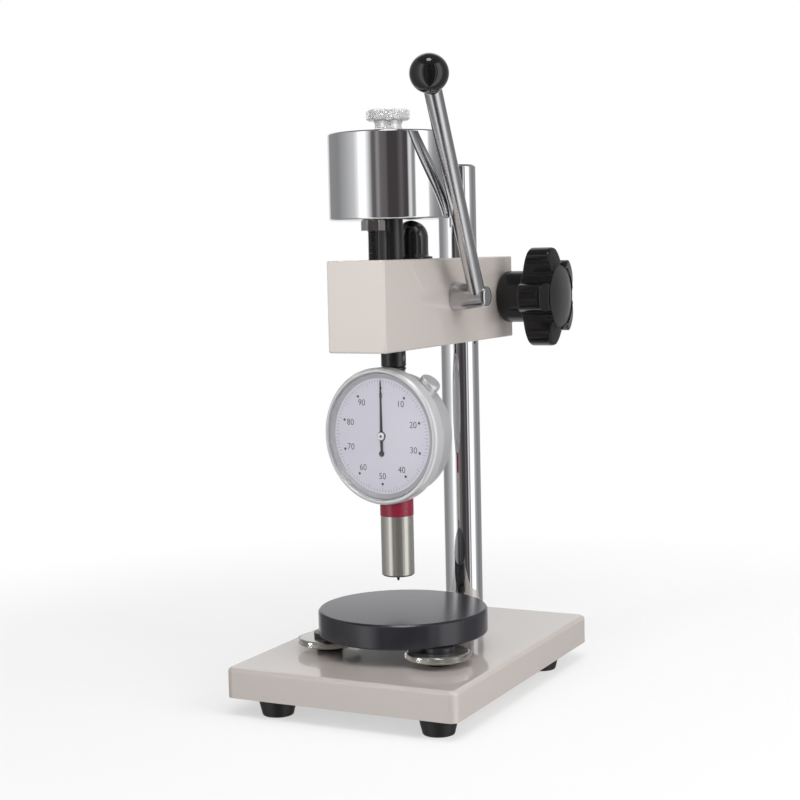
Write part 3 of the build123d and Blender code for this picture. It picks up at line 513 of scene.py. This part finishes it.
def turned_steel(name, colour, low, high, centre, depth, rings=2600.0, metallic=1.0):
    """Turned steel: fine rings from the tool about an upright axis through the centre, in millimetres."""
    m = finish(name, colour, low, high, patch=160, grain=2200, depth=depth, tint=0.05, metallic=metallic)
    t = m.node_tree
    place = node(t, "ShaderNodeMapping", {"Location": [-c * 0.001 for c in centre]})
    split = node(t, "ShaderNodeSeparateXYZ")
    flat, lathe = node(t, "ShaderNodeCombineXYZ"), node(t, "ShaderNodeCombineXYZ")
    far = node(t, "ShaderNodeVectorMath", operation="LENGTH")
    marks = node(t, "ShaderNodeTexNoise", {"Scale": rings, "Detail": 3.0})
    wire(t, (t.nodes["Texture Coordinate"], "Object", place, "Vector"), (place, "Vector", split, "Vector"),
         (split, "X", flat, "X"), (split, "Y", flat, "Y"), (flat, "Vector", far, 0),
         (far, "Value", lathe, "X"), (split, "Z", lathe, "Z"), (lathe, "Vector", marks, "Vector"),
         (marks, "Fac", t.nodes["Bump"], "Height"))
    return m


def knurled_mesh(name, body, radius, low, high, count, rows, depth, steel, place):
    """Turned body with a knurl round its rim; depth is a pyramid's height in millimetres."""
    rim = grown(name, knurl, {"Radius": radius * 0.001, "Height": (high - low) * 0.001, "Low": low * 0.001,
                              "Count": count, "Rows": rows, "Depth": depth * 0.001, "Finish": steel})
    whole = join_meshes(name, [body, rim])
    whole.transform(place)
    return whole


knurl = knurl_tree()
black_pad = finish("black_pad", srgb(24, 24, 25), 0.30, 0.45, patch=200, grain=1500, depth=0.01, tint=0.1)
black_table_paint = finish("black_satin_paint", srgb(37, 37, 42), 0.16, 0.22, patch=24, grain=650,
                           depth=0.002, tint=0.12, specular=0.6)
rim_r, wheel_top = wheel_r - 0.45, level_z + level_thick
pad_outline = rounded([(0, 21.0), (5.8, 21.0), (5.75, 23.5), (0, 23.5)], 0.3)
boss_outline = rounded([(2.55, 26.85), (7.0, 26.85), (7.0, table_low), (2.55, table_low)], 0.2)
wheel_outline = rounded([(0, level_z), (rim_r - 0.7, level_z), (rim_r, level_z + 0.5),
                         (rim_r, wheel_top - 0.5), (rim_r - 0.7, wheel_top), (2.5, wheel_top),
                         (2.5, stud_top), (0, stud_top)], 0.12)
pads, bosses = [], []
for side, (x, y) in zip(level_names, level_places):
    name = "knurled_levelling_screw_" + side
    pads.append(turned_mesh("pad", pad_outline, at(x, y, 0), 48))
    bosses.append(turned_mesh("boss", boss_outline, at(x, y, 0), 64, ring=True))
    steel = turned_steel("levelling_steel_" + side, srgb(214, 212, 206), 0.11, 0.18, (x, y, 0), depth=0.002,
                         metallic=0.95)
    wheel = turned_mesh("wheel", wheel_outline, None, 128)
    whole = knurled_mesh(name, wheel, rim_r + 0.16, level_z + 0.25, wheel_top - 0.25, count=74, rows=3,
                         depth=0.72, steel=steel, place=at(x, y, 0))
    as_piece(name, whole, "levelling_screw_" + side, steel, ["levelling_screw_" + side])
as_piece("pad_set", join_meshes("pad_set", pads), "stand", black_pad, ["levelling_pads"])
as_piece("boss_set", join_meshes("boss_set", bosses), "stand", black_table_paint, ["platen_bosses"])

# The table: a ground steel disc in black satin, on its three levelling screws.
# Its chamfered rim catches the light as a thin line.
table_top, table_r = 39.8, 37.6
table_outline = rounded([(0, table_low), (table_r - 0.5, table_low), (table_r, table_low + 0.5),
                         (table_r, table_top - 0.9), (table_r - 0.9, table_top), (0, table_top)], 0.22)
turned_piece("round_table", table_outline, at(table_x, table_y, 0), 192, "stand", black_table_paint,
             ["platen"])

# The arm: one machined block in the plate's gloss paint, bored for the column and split behind it.
# Bronze bushes line it where the spindle and the lever's shaft run.
dress(stand_paint, "arm_block")
bronze = finish("oiled_bronze", srgb(158, 122, 70), 0.30, 0.45, patch=180, grain=1600, depth=0.01, tint=0.1,
                metallic=1.0)
dress(bronze, "upper_spindle_bush", "lower_spindle_bush", "left_shaft_bush", "right_shaft_bush")

# The stop screw: a hexagon-head screw in the arm's top, on which the weight comes to rest.
# Its head is zinc-plated, and its blackened thread shows between the head and the arm.
stop_y, stop_seat, stop_end, arm_top, weight_low = -44.531, 206.0, 180.0, 193.5, 210.7
thread_r, thread_pitch, thread_depth = 2.38, 0.8, 0.36
hexagon_flats, hexagon_high, hexagon_turn = 9.0, 4.65, radians(33.4)


def threaded(r, low, high, pitch, depth):
    """Outline of a screw's thread as (radius, height) points between two heights."""
    points = [(r, low)]
    z = low
    while z + pitch < high:
        points += [(r, z + pitch * 0.1), (r - depth, z + pitch * 0.5), (r, z + pitch * 0.9)]
        z += pitch
    return points + [(r, high)]


def hexagon_head(name, flats, height, chamfer, place):
    """Hexagon screw head with its turned corner chamfer, standing up from the place."""
    corner = flats / sqrt(3)
    turns = [2 * pi * k / 72 for k in range(72)]
    rows = []
    for level, limit in ((0.0, corner), (height - chamfer, corner), (height - chamfer * 0.45, corner * 0.955),
                         (height, flats / 2 - 0.3)):
        reach = [min(flats / 2 / cos((a + hexagon_turn) % (pi / 3) - pi / 6), limit) for a in turns]
        rows.append([(r * cos(a), r * sin(a), level) for r, a in zip(reach, turns)])
    return skinned(name, rows + [[(0, 0, height)]], place, crease=20, cap=True)


stop_head = hexagon_head("head", hexagon_flats, hexagon_high, 0.8, at(0, stop_y, stop_seat))
zinc_plate = finish("zinc_plate", srgb(214, 213, 211), 0.16, 0.26, patch=300, grain=2400, depth=0.004,
                    tint=0.06, metallic=1.0)
as_piece("hexagon_stop_head", stop_head, "arm", zinc_plate, ["stop_screw"])
thread_black = finish("blackened_thread", srgb(30, 29, 29), 0.22, 0.34, patch=300, grain=2400, depth=0.006,
                      tint=0.1, coat=0.4)
thread_outline = threaded(thread_r, stop_end, stop_seat, thread_pitch, thread_depth)
thread_outline = [(0, stop_end - 0.4)] + thread_outline + [(0, stop_seat)]
turned_piece("stop_screw_thread", thread_outline, at(0, stop_y, 0), 48, "arm", thread_black, ())

# The buffer: a moulded black rubber dome with a thin flange, on a stud in the arm's top.
# It takes the weight softly when the lever lets it down.
buffer_y, buffer_r, buffer_top = -7.731, 7.6, weight_low - 0.1
dome = rounded([(0, arm_top), (9.4, arm_top), (9.4, arm_top + 0.9), (8.6, arm_top + 1.15),
                (buffer_r + 0.2, arm_top + 1.3), (buffer_r, arm_top + 1.8)], 0.3)
dome += [Vector((buffer_r * cos(radians(a)), buffer_top - buffer_r + buffer_r * sin(radians(a))))
         for a in range(0, 90, 5)] + [Vector((0, buffer_top))]
gloss_rubber = finish("glossy_rubber", srgb(16, 16, 17), 0.14, 0.22, patch=90, grain=900, depth=0.006,
                      tint=0.12, coat=1.0, coat_rough=0.10, specular=0.8)
turned_piece("domed_buffer", dome, at(0, buffer_y, 0), 96, "arm", gloss_rubber, ["rubber_buffer"])
dress(plain_steel, "buffer_stud")

# The lever: a taper-turned bright steel hub on the cross shaft, with a rod screwed into it.
# A glossy black ball is moulded on the rod's end.
lever_y, lever_z, arm_side, rod_x = 7.969, 176.0, 13.8, 25.0
lever_lean, lever_splay, lever_length = radians(38.2), radians(6.0), 117.8
rod_r, rod_tip_r, ball_r, ball_flat = 3.8, 2.6, 8.1, 4.0
lever_way = Vector((sin(lever_splay), -cos(lever_splay) * sin(lever_lean),
                    cos(lever_splay) * cos(lever_lean)))
across = Matrix.Rotation(pi / 2, 4, "Y")
bright_steel = chrome_finish("bright_drawn_steel", 0.60, 0.17, 0.27, 60.0)
hub_outline = rounded([(0, -29.6), (4.5, -29.6), (4.5, 0.02), (6.75, 0.02), (5.0, 14.9), (4.6, 15.9),
                       (3.9, 16.4), (3.0, 16.62), (0, 16.66)], 0.3)
turned_piece("turned_lever_hub", hub_outline, at(arm_side, lever_y, lever_z) @ across, 96, "lever",
             bright_steel, ["lever_shaft"])
along_rod = at(rod_x, lever_y, lever_z) @ lever_way.to_track_quat("Z", "Y").to_matrix().to_4x4()
rod_outline = rounded([(0, 1.0), (rod_r, 1.0), (rod_r, lever_length - 7.6), (rod_tip_r, lever_length - 7.2),
                       (rod_tip_r, lever_length - 1), (0, lever_length - 1)], 0.25)
turned_piece("bright_lever_rod", rod_outline, along_rod, 80, "lever", bright_steel, ["lever_rod"])
ball_drop = sqrt(ball_r ** 2 - ball_flat ** 2)
ball_start = -asin(ball_drop / ball_r)
ball_turns = [ball_start + (pi / 2 - ball_start) * k / 40 for k in range(40)]
ball_outline = [(rod_r + 0.05, lever_length - 7.0), (rod_r + 0.05, lever_length - ball_drop)]
ball_outline += [(ball_r * cos(a), lever_length + ball_r * sin(a)) for a in ball_turns]
ball_outline.append((0, lever_length + ball_r))
gloss_black = finish("gloss_black_phenolic", srgb(14, 14, 14), 0.05, 0.10, patch=60, grain=700, depth=0.002,
                     tint=0.2, coat=0.5, coat_rough=0.03)
turned_piece("gloss_ball", ball_outline, along_rod, 96, "lever", gloss_black, ["ball_knob"])
dress(plain_steel, "lifting_arm", "lifting_arm_pin", "shaft_circlip")

# The clamp: a moulded black star knob on a screw that pulls the arm's split together on the column.
# Five rounded grips, a sloped back and a raised crown with a domed cap let into it.
knob_y, knob_z = 66.469, 174.0
knob_outer, knob_lobe, knob_lobes, knob_valley = 24.5, 6.5, 5, 14.6
crown_r, crown_bow, crown_high, crown_floor = 15.6, 58.0, 30.6, 28.65
cap_r, cap_low, cap_high = 14.6, 28.6, 30.7
knob_ease = 1.6


def star_radius(a):
    """Radius of the star's outline at an angle, with its lobes and eased valleys."""
    best = 0.0
    centre = knob_outer - knob_lobe
    for k in range(knob_lobes):
        d = (a - 2 * pi * k / knob_lobes + pi) % (2 * pi) - pi
        if abs(d) < pi / 2:
            reach = knob_lobe ** 2 - (centre * sin(d)) ** 2
            if reach > 0:
                best = max(best, centre * cos(d) + sqrt(reach))
            side = knob_lobe / max(abs(sin(d)), 1e-6)
            if side * cos(d) < centre:
                best = max(best, side)
    return max(best, knob_valley) + max(knob_ease - abs(best - knob_valley), 0.0) ** 2 / (4 * knob_ease)


def star_mesh(name, profile, place):
    """The knob: each ring of the profile is held within the star's outline."""
    turns = [2 * pi * k / 240 for k in range(240)]
    star = [star_radius(a) for a in turns]
    fine = []
    for p, q in zip(profile, profile[1:]):
        parts = max(1, int((q - p).length / 0.8))
        fine += [p + (q - p) * (k / parts) for k in range(parts)]
    rows = []
    for p in fine + [profile[-1]]:
        if p.x < 1e-4:
            rows.append([(0, 0, p.y)])
            continue
        reach = [min(s, p.x) - max(knob_ease - abs(s - p.x), 0.0) ** 2 / (4 * knob_ease) for s in star]
        rows.append([(r * cos(a), r * sin(a), p.y) for r, a in zip(reach, turns)])
    return skinned(name, rows, place, crease=50)


knob_profile = rounded([(0.0, 0.0), (11.2, 0.0), (12.35, 1.6), (12.35, 12.2), (13.2, 12.8), (23.9, 16.0),
                        (24.5, 16.7), (24.5, 26.0), (23.6, 27.1), (16.3, 28.6), (15.9, 29.1)], 0.5)
knob_profile += [Vector((crown_r, crown_high - crown_r ** 2 / (2 * crown_bow))), Vector((14.8, crown_floor)),
                 Vector((0, crown_floor))]
knob_plastic = finish("moulded_black_plastic", srgb(15, 15, 16), 0.16, 0.26, patch=45, grain=1100,
                      depth=0.004, tint=0.12, coat=0.25, coat_rough=0.10, specular=0.35)
knob_seat = at(arm_side, knob_y, knob_z) @ across
knob_mesh = star_mesh("moulded_star_knob", knob_profile, knob_seat @ Matrix.Rotation(-pi / 2, 4, "Z"))
as_piece("moulded_star_knob", knob_mesh, "clamp", knob_plastic, ["star_knob"])
cap_outline = [(0, cap_low), (cap_r, cap_low)]
cap_outline += [(r, cap_high - r ** 2 / (2 * crown_bow)) for r in (cap_r * (1 - k / 10) for k in range(11))]
cap_plastic = finish("satin_black_cap", srgb(12, 12, 13), 0.24, 0.32, patch=60, grain=1300, depth=0.002,
                     tint=0.1, coat=1.0, coat_rough=0.24)
turned_piece("knob_cap", cap_outline, knob_seat, 96, "clamp", cap_plastic, ())
dress(plain_steel, "clamp_screw")

# The spindle: a ground rod, oil-blacked and polished, sliding in the two bushes.
# A window in its middle takes the lifting arm, and a grub screw holds the durometer's stem.
black_oxide = finish("oil_blacked_steel", srgb(34, 34, 35), 0.16, 0.28, patch=70, grain=1500, depth=0.006,
                     tint=0.15, coat=0.3, coat_rough=0.08)
dress(black_oxide, "spindle")
dress(plain_steel, "stem_set_screw")

# The weight: a turned steel cylinder, polished and chromed like a mirror, round the spindle's spigot.
# Its two edges are chamfered.
weight_r, weight_top, weight_edge, weight_bore = 26.6, 248.0, 0.6, 4.05
weight_outline = rounded([(weight_bore, weight_low), (weight_r - weight_edge, weight_low),
                          (weight_r, weight_low + weight_edge), (weight_r, weight_top - weight_edge),
                          (weight_r - weight_edge, weight_top), (weight_bore, weight_top)], 0.25)
mirror_chrome = chrome_finish("mirror_chrome", 0.88, 0.02, 0.045, 14.0)
on_axis = at(0, table_y, 0)
turned_piece("chromed_weight", weight_outline, on_axis, 256, "carriage", mirror_chrome, ["weight"],
             ring=True)

# The thumbscrew: a knurled steel head over a waisted neck, screwed down on the weight.
# The knurl is a fine diamond.
head_r, head_low, head_high, thumb_end = 9.05, 253.45, 258.05, 238.3
thumb_steel = turned_steel("thumbscrew_steel", srgb(235, 235, 234), 0.22, 0.34, (0, table_y, 0), depth=0.003,
                           metallic=0.45)
thumb_outline = rounded([(2.5, thumb_end), (2.5, 248.05), (6.8, 248.05), (6.75, 248.8), (5.9, 250.4),
                         (5.8, 251.6), (6.5, head_low), (head_r - 0.25, head_low), (head_r, head_low + 0.3),
                         (head_r, head_high - 0.3), (head_r - 0.3, head_high), (0, head_high)], 0.15)
thumb = turned_mesh("thumb", [Vector((0, thumb_end))] + thumb_outline, None, 96)
thumb = knurled_mesh("knurled_thumbscrew", thumb, head_r + 0.13, head_low + 0.2, head_high - 0.2, count=62,
                     rows=7, depth=0.46, steel=thumb_steel, place=on_axis)
as_piece("knurled_thumbscrew", thumb, "weight_nut", thumb_steel, ["weight_thumbscrew"])

# The durometer's case and stem: satin-plated alloy, a round box with a flanged front.
# The stem goes up into the spindle, and everything on it turns nine degrees to the front's left.
dial_z, dial_turn = 116.9, radians(-9.0)
turned_way = on_axis @ Matrix.Rotation(dial_turn, 4, "Z")
facing = turned_way @ at(0, 0, dial_z) @ Matrix.Rotation(pi / 2, 4, "X")
satin_plate = finish("satin_plated_alloy", srgb(222, 222, 224), 0.29, 0.38, patch=70, grain=2600, depth=0.003,
                     tint=0.03, metallic=0.72)
case_outline = rounded([(20.5, -6.0), (25.6, -6.0), (27.0, -4.6), (27.0, 8.85), (25.0, 8.85), (25.0, -4.0),
                        (20.5, -4.0)], 0.6)
turned_piece("plated_case", case_outline, facing, 160, "carriage", satin_plate, ["durometer_case"],
             ring=True)
stem_outline = rounded([(0, 143.2), (5.2, 143.2), (5.2, 144.75), (4.0, 144.8), (4.0, 156.3), (0, 156.3)], 0.2)
turned_piece("plated_stem", stem_outline, on_axis, 64, "carriage", satin_plate, ["durometer_stem"])

# The stem's ring: a thin blacked steel washer between the stem's collar and the spindle.
# It shows as a dark line over the case.
ring_outline = rounded([(4.05, 144.85), (4.9, 144.85), (5.45, 145.4), (5.45, 146.35), (4.05, 146.35)], 0.3)
turned_piece("black_stem_ring", ring_outline, on_axis, 64, "carriage", black_oxide, (),
             ring=True)

# The back cover: a spun disc with a raised middle, held by four small cross-head screws.
# It closes the case behind the movement.
cover_rim, back_screw_r = -7.6, 23.0
cover_outline = rounded([(0, -8.8), (18.6, -8.8), (20.0, -8.3), (20.6, cover_rim), (25.0, cover_rim),
                         (25.5, -7.1), (25.5, -6.0), (0, -6.0)], 0.5)
turned_piece("spun_back_cover", cover_outline, facing, 160, "carriage", satin_plate, ["back_cover"])
back_heads = []
for quarter in range(4):
    a = radians(45 + 90 * quarter)
    spot = facing @ at(back_screw_r * cos(a), back_screw_r * sin(a), cover_rim) @ down
    back_heads.append(cross_head("back_screw", 1.8, 0.9, spot, slot_width=0.45, slot_reach=0.6))
as_piece("back_screw_heads", join_meshes("back_screw_heads", back_heads), "carriage", plain_steel,
         ["back_screws"])

# The foot of the durometer: a turned steel barrel that presses on the sample, its red neck ring above it.
# The indenter pin comes out through the middle of its flat face.
foot_low, barrel_top, barrel_r = 54.0, 81.0, 7.3
barrel_steel = turned_steel("barrel_steel", srgb(200, 197, 190), 0.15, 0.22, (0, table_y, 0), depth=0.002,
                            rings=1800.0, metallic=0.85)
barrel_outline = rounded([(0.7, 58.0), (0.7, foot_low), (barrel_r - 0.6, foot_low),
                          (barrel_r, foot_low + 0.6), (barrel_r, barrel_top), (5.1, barrel_top), (5.0, 91.0),
                          (4.0, 91.0), (4.0, 58.0)], 0.25)
turned_piece("turned_barrel", barrel_outline, on_axis, 112, "carriage", barrel_steel, ["presser_barrel"],
             ring=True)
crimson = finish("crimson_anodised", srgb(132, 26, 50), 0.22, 0.34, patch=120, grain=1600, depth=0.004,
                 tint=0.08, coat=0.3)
dress(crimson, "neck_band")
indenter_outline = [(0, 51.5), (0.395, 51.5), (0.625, 52.23), (0.625, 64.9), (0, 64.9)]
hard_steel = finish("hardened_steel", srgb(150, 150, 152), 0.14, 0.22, patch=400, grain=3000, depth=0.002,
                    tint=0.05, metallic=1.0)
turned_piece("hardened_indenter", indenter_outline, on_axis, 40, "indenter", hard_steel, ["indenter_pin"])
dress(hard_steel, "rack_stem", "indenter_spring")

# The bezel's clamp: a short round cap on the case's rim, upper right, which holds the bezel.
# It is plated like the case.
lug_angle, lug_foot = radians(50.0), 25.0
lug_way = turned_way @ at(0, -0.15, dial_z) @ Matrix.Rotation(pi / 2 - lug_angle, 4, "Y")
lug_outline = rounded([(2.3, lug_foot), (2.3, 26.4), (4.75, 26.4), (4.75, 30.6), (4.1, 31.5), (0, 31.5)], 0.5)
turned_piece("bezel_clamp_cap", [Vector((0, lug_foot))] + lug_outline, lug_way, 64, "carriage", satin_plate,
             ["bezel_clamp"])

# The bezel: a plated ring with a rounded front edge, over the case's mouth.
# It holds the glass against a step and the dial behind it.
bezel_outline = rounded([(27.1, 5.5), (29.4, 5.5), (30.0, 6.2), (30.0, 11.2), (29.4, 12.1), (28.8, 12.4),
                         (28.3, 12.4), (27.9, 11.9), (27.9, 11.75), (28.45, 11.75), (28.45, 10.85),
                         (27.9, 10.85), (27.5, 10.4), (27.5, 9.9), (27.05, 9.9), (27.05, 9.2), (27.1, 9.2)],
                        0.12)
bezel_plate = finish("polished_plate", srgb(223, 223, 225), 0.29, 0.36, patch=70, grain=2600, depth=0.002,
                     tint=0.02, metallic=0.60)
turned_piece("plated_bezel", bezel_outline, facing, 192, "carriage", bezel_plate, ["bezel"],
             ring=True)

# The dial's edge ring: a thin pressed satin ring that slopes down from the bezel to the dial; its dark grey
# is partly painted shade.
# It lies on the dial's edge, under the glass.
slope_outline = rounded([(25.3, 9.9), (27.45, 9.9), (27.45, 10.8), (27.2, 10.8), (25.3, 10.0)], 0.04)
# the ring's darker grey is painted shade, for the shade that the bezel's lip casts on the dial's edge
slope_grey_painted_shade = finish("satin_grey_slope_painted_shade", srgb(158, 158, 162), 0.38, 0.48, patch=80, grain=2600, depth=0.002,
                    tint=0.03, metallic=0.25)
turned_piece("dial_edge_slope", slope_outline, facing, 160, "carriage", slope_grey_painted_shade, (),
             ring=True)

# The dial: a pale enamelled disc, printed with a hundred divisions, a dot and a number at every ten.
# The numbers stand upright inside the dots, and nought is at the top.
dial_face, dial_back, dial_r, dial_bore = 9.85, 9.25, 27.0, 2.2
dial_paint = finish("pale_dial_enamel", srgb(188, 187, 198), 0.40, 0.52, patch=60, grain=2200, depth=0.003,
                    tint=0.012)
dial_outline = rounded([(dial_bore, dial_back), (dial_r, dial_back), (dial_r, dial_face),
                        (dial_bore, dial_face)], 0.08)
turned_piece("enamelled_dial", dial_outline, facing, 160, "carriage", dial_paint, ["dial_plate"],
             ring=True)
printing_ink = finish("dial_ink", srgb(34, 33, 42), 0.40, 0.55, patch=300, grain=3000, depth=0.001, tint=0.1)


def tick_tree():
    """Fine printed lines round a circle: a longer one at every fifth."""
    g, given, result = new_group("dial_divisions", "GeometryNodeTree",
                                 {"Count": "Int", "Radius": "Float", "Long": "Float", "Short": "Float",
                                  "Width": "Float", "Ink": "Material"}, {"Geometry": "Geometry"})
    g.is_modifier = True
    index = node(g, "GeometryNodeInputIndex").outputs[0]
    angle = calc(g, "MULTIPLY", calc(g, "DIVIDE", index, given.outputs["Count"]), -2 * pi)
    fifth = calc(g, "COMPARE", calc(g, "MODULO", calc(g, "ADD", index, 0.5), 5.0), 0.5)
    length = node(g, "ShaderNodeMix", data_type="FLOAT")
    g.links.new(fifth, length.inputs[0])
    wire(g, (given, "Short", length, 2), (given, "Long", length, 3))
    middle = calc(g, "SUBTRACT", given.outputs["Radius"], calc(g, "MULTIPLY", length.outputs[0], 0.5))
    x = calc(g, "MULTIPLY", middle, calc(g, "SINE", calc(g, "MULTIPLY", angle, -1.0)))
    y = calc(g, "MULTIPLY", middle, calc(g, "COSINE", angle))
    line = node(g, "GeometryNodeMeshGrid", {"Size X": 1.0, "Size Y": 1.0, "Vertices X": 2, "Vertices Y": 2})
    spot = feed(g, "ShaderNodeCombineXYZ", x, y)
    spin = feed(g, "ShaderNodeCombineXYZ", 0.0, 0.0, angle)
    size = feed(g, "ShaderNodeCombineXYZ", given.outputs["Width"], length.outputs[0], 1.0)
    set_out(g, given.outputs["Count"], spot, line.outputs["Mesh"], spin, size, given.outputs["Ink"], result)
    return g


printed = [grown("lines", tick_tree(), {"Count": 100, "Radius": 0.0246, "Long": 0.0021, "Short": 0.0013,
                                        "Width": 0.00013, "Ink": printing_ink})]
dot_place_r, dot_r, number_place_r, number_size, print_lift = 20.96, 0.62, 17.6, 3.915, 0.012
for k in range(10):
    a = radians(36 * k)
    bm = bmesh.new()
    bmesh.ops.create_circle(bm, cap_ends=True, segments=20, radius=dot_r * 0.001)
    dot = as_mesh("dot", bm)
    dot.transform(at(dot_place_r * sin(a), dot_place_r * cos(a), 0))
    word = bpy.data.curves.new("number", "FONT")
    word.body = str(10 * k)
    word.size = number_size * 0.001
    word.align_x = "CENTER"
    word.align_y = "CENTER"
    figure = settled(linked("number", word))
    figure.transform(at(number_place_r * sin(a), number_place_r * cos(a), 0))
    printed += [dot, figure]
printing = join_meshes("dial_printing", printed)
printing.transform(facing @ at(0, 0, dial_face + print_lift))
as_piece("dial_printing", printing, "carriage", printing_ink, ())

# The pointer: blued steel sheet on its arbor, slim to the front, with a round weight on its tail.
# A bright boss with a dark eye holds it.
pointer_low, pointer_high, tail_y, tail_r = dial_face + 0.2, dial_face + 0.4, -7.7, 1.3
blade = [(-0.7, 0), (-0.28, 23.0), (0, 24.5), (0.28, 23.0), (0.7, 0), (0.5, -6.8)]
tail = [(tail_r * sin(radians(a)), tail_y + tail_r * cos(radians(a))) for a in range(20, 341, 16)]
hand_outline = blade + tail + [(-0.5, -6.8)]
bm = bmesh.new()
under, over = ([bm.verts.new((x * 0.001, y * 0.001, z * 0.001)) for x, y in hand_outline]
               for z in (pointer_low, pointer_high))
bm.faces.new(under[::-1])
bm.faces.new(over)
for k in range(len(hand_outline)):
    j = (k + 1) % len(hand_outline)
    bm.faces.new((under[k], under[j], over[j], over[k]))
bmesh.ops.triangulate(bm, faces=bm.faces)
bmesh.ops.recalc_face_normals(bm, faces=bm.faces)
hand = as_mesh("blued_pointer", bm)
hand.transform(facing)
pointer_ink = finish("blued_pointer_steel", srgb(26, 25, 32), 0.25, 0.38, patch=200, grain=1800, depth=0.002,
                     tint=0.1)
as_piece("blued_pointer", hand, "hand", pointer_ink, ["pointer"])
eye_outline = rounded([(0.62, 10.05), (1.7, 10.05), (1.7, 10.45), (1.45, 10.6), (0.62, 10.6)], 0.1)
turned_piece("pointer_boss", eye_outline, facing, 48, "hand", bezel_plate, (), ring=True)
dress(hard_steel, "pointer_arbor")

# The movement behind the dial: brass plates on pillars with the idler between them.
# It is lightly oiled and has a plain machined finish.
clock_brass = finish("machined_brass", srgb(186, 150, 84), 0.24, 0.36, patch=150, grain=1900, depth=0.006,
                     tint=0.08, metallic=1.0)
dress(clock_brass, "movement_front_plate", "movement_back_plate", "movement_pillars", "idler_gear")

# The glass: a flat round pane pressed into the bezel.
# It is clear, with a polished face that mirrors the room.
clear_glass, pane = blank_material("clear_glass")
glass_out = node(pane, "ShaderNodeOutputMaterial")
glass = node(pane, "ShaderNodeBsdfPrincipled", {"Base Color": white, "Transmission Weight": 1.0, "IOR": 1.45})
glass_open = node(pane, "ShaderNodeBsdfTransparent")
glass_mix = node(pane, "ShaderNodeMixShader")
glass_ray = node(pane, "ShaderNodeLightPath")
glass_where = node(pane, "ShaderNodeTexCoord")
glass_uneven = node(pane, "ShaderNodeGroup", {"Patch Scale": 40.0, "Low": 0.0, "High": 0.02},
                    node_tree=patchy)
# shadow and diffuse rays pass straight through, so the dial behind is lit
glass_pass = node(pane, "ShaderNodeMath", operation="MAXIMUM")
wire(pane, (glass_where, "Object", glass_uneven, "Vector"), (glass_uneven, "Patch", glass, "Roughness"),
     (glass_ray, "Is Shadow Ray", glass_pass, 0), (glass_ray, "Is Diffuse Ray", glass_pass, 1),
     (glass_pass, "Value", glass_mix, "Fac"), (glass, "BSDF", glass_mix, 1),
     (glass_open, "BSDF", glass_mix, 2), (glass_mix, "Shader", glass_out, "Surface"))
pane_low, pane_high, pane_r = 10.9, 11.7, 28.35
pane_outline = rounded([(0, pane_low), (pane_r, pane_low), (pane_r, pane_high), (0, pane_high)], 0.1)
turned_piece("flat_glass", pane_outline, facing, 160, "carriage", clear_glass, ["crystal"])

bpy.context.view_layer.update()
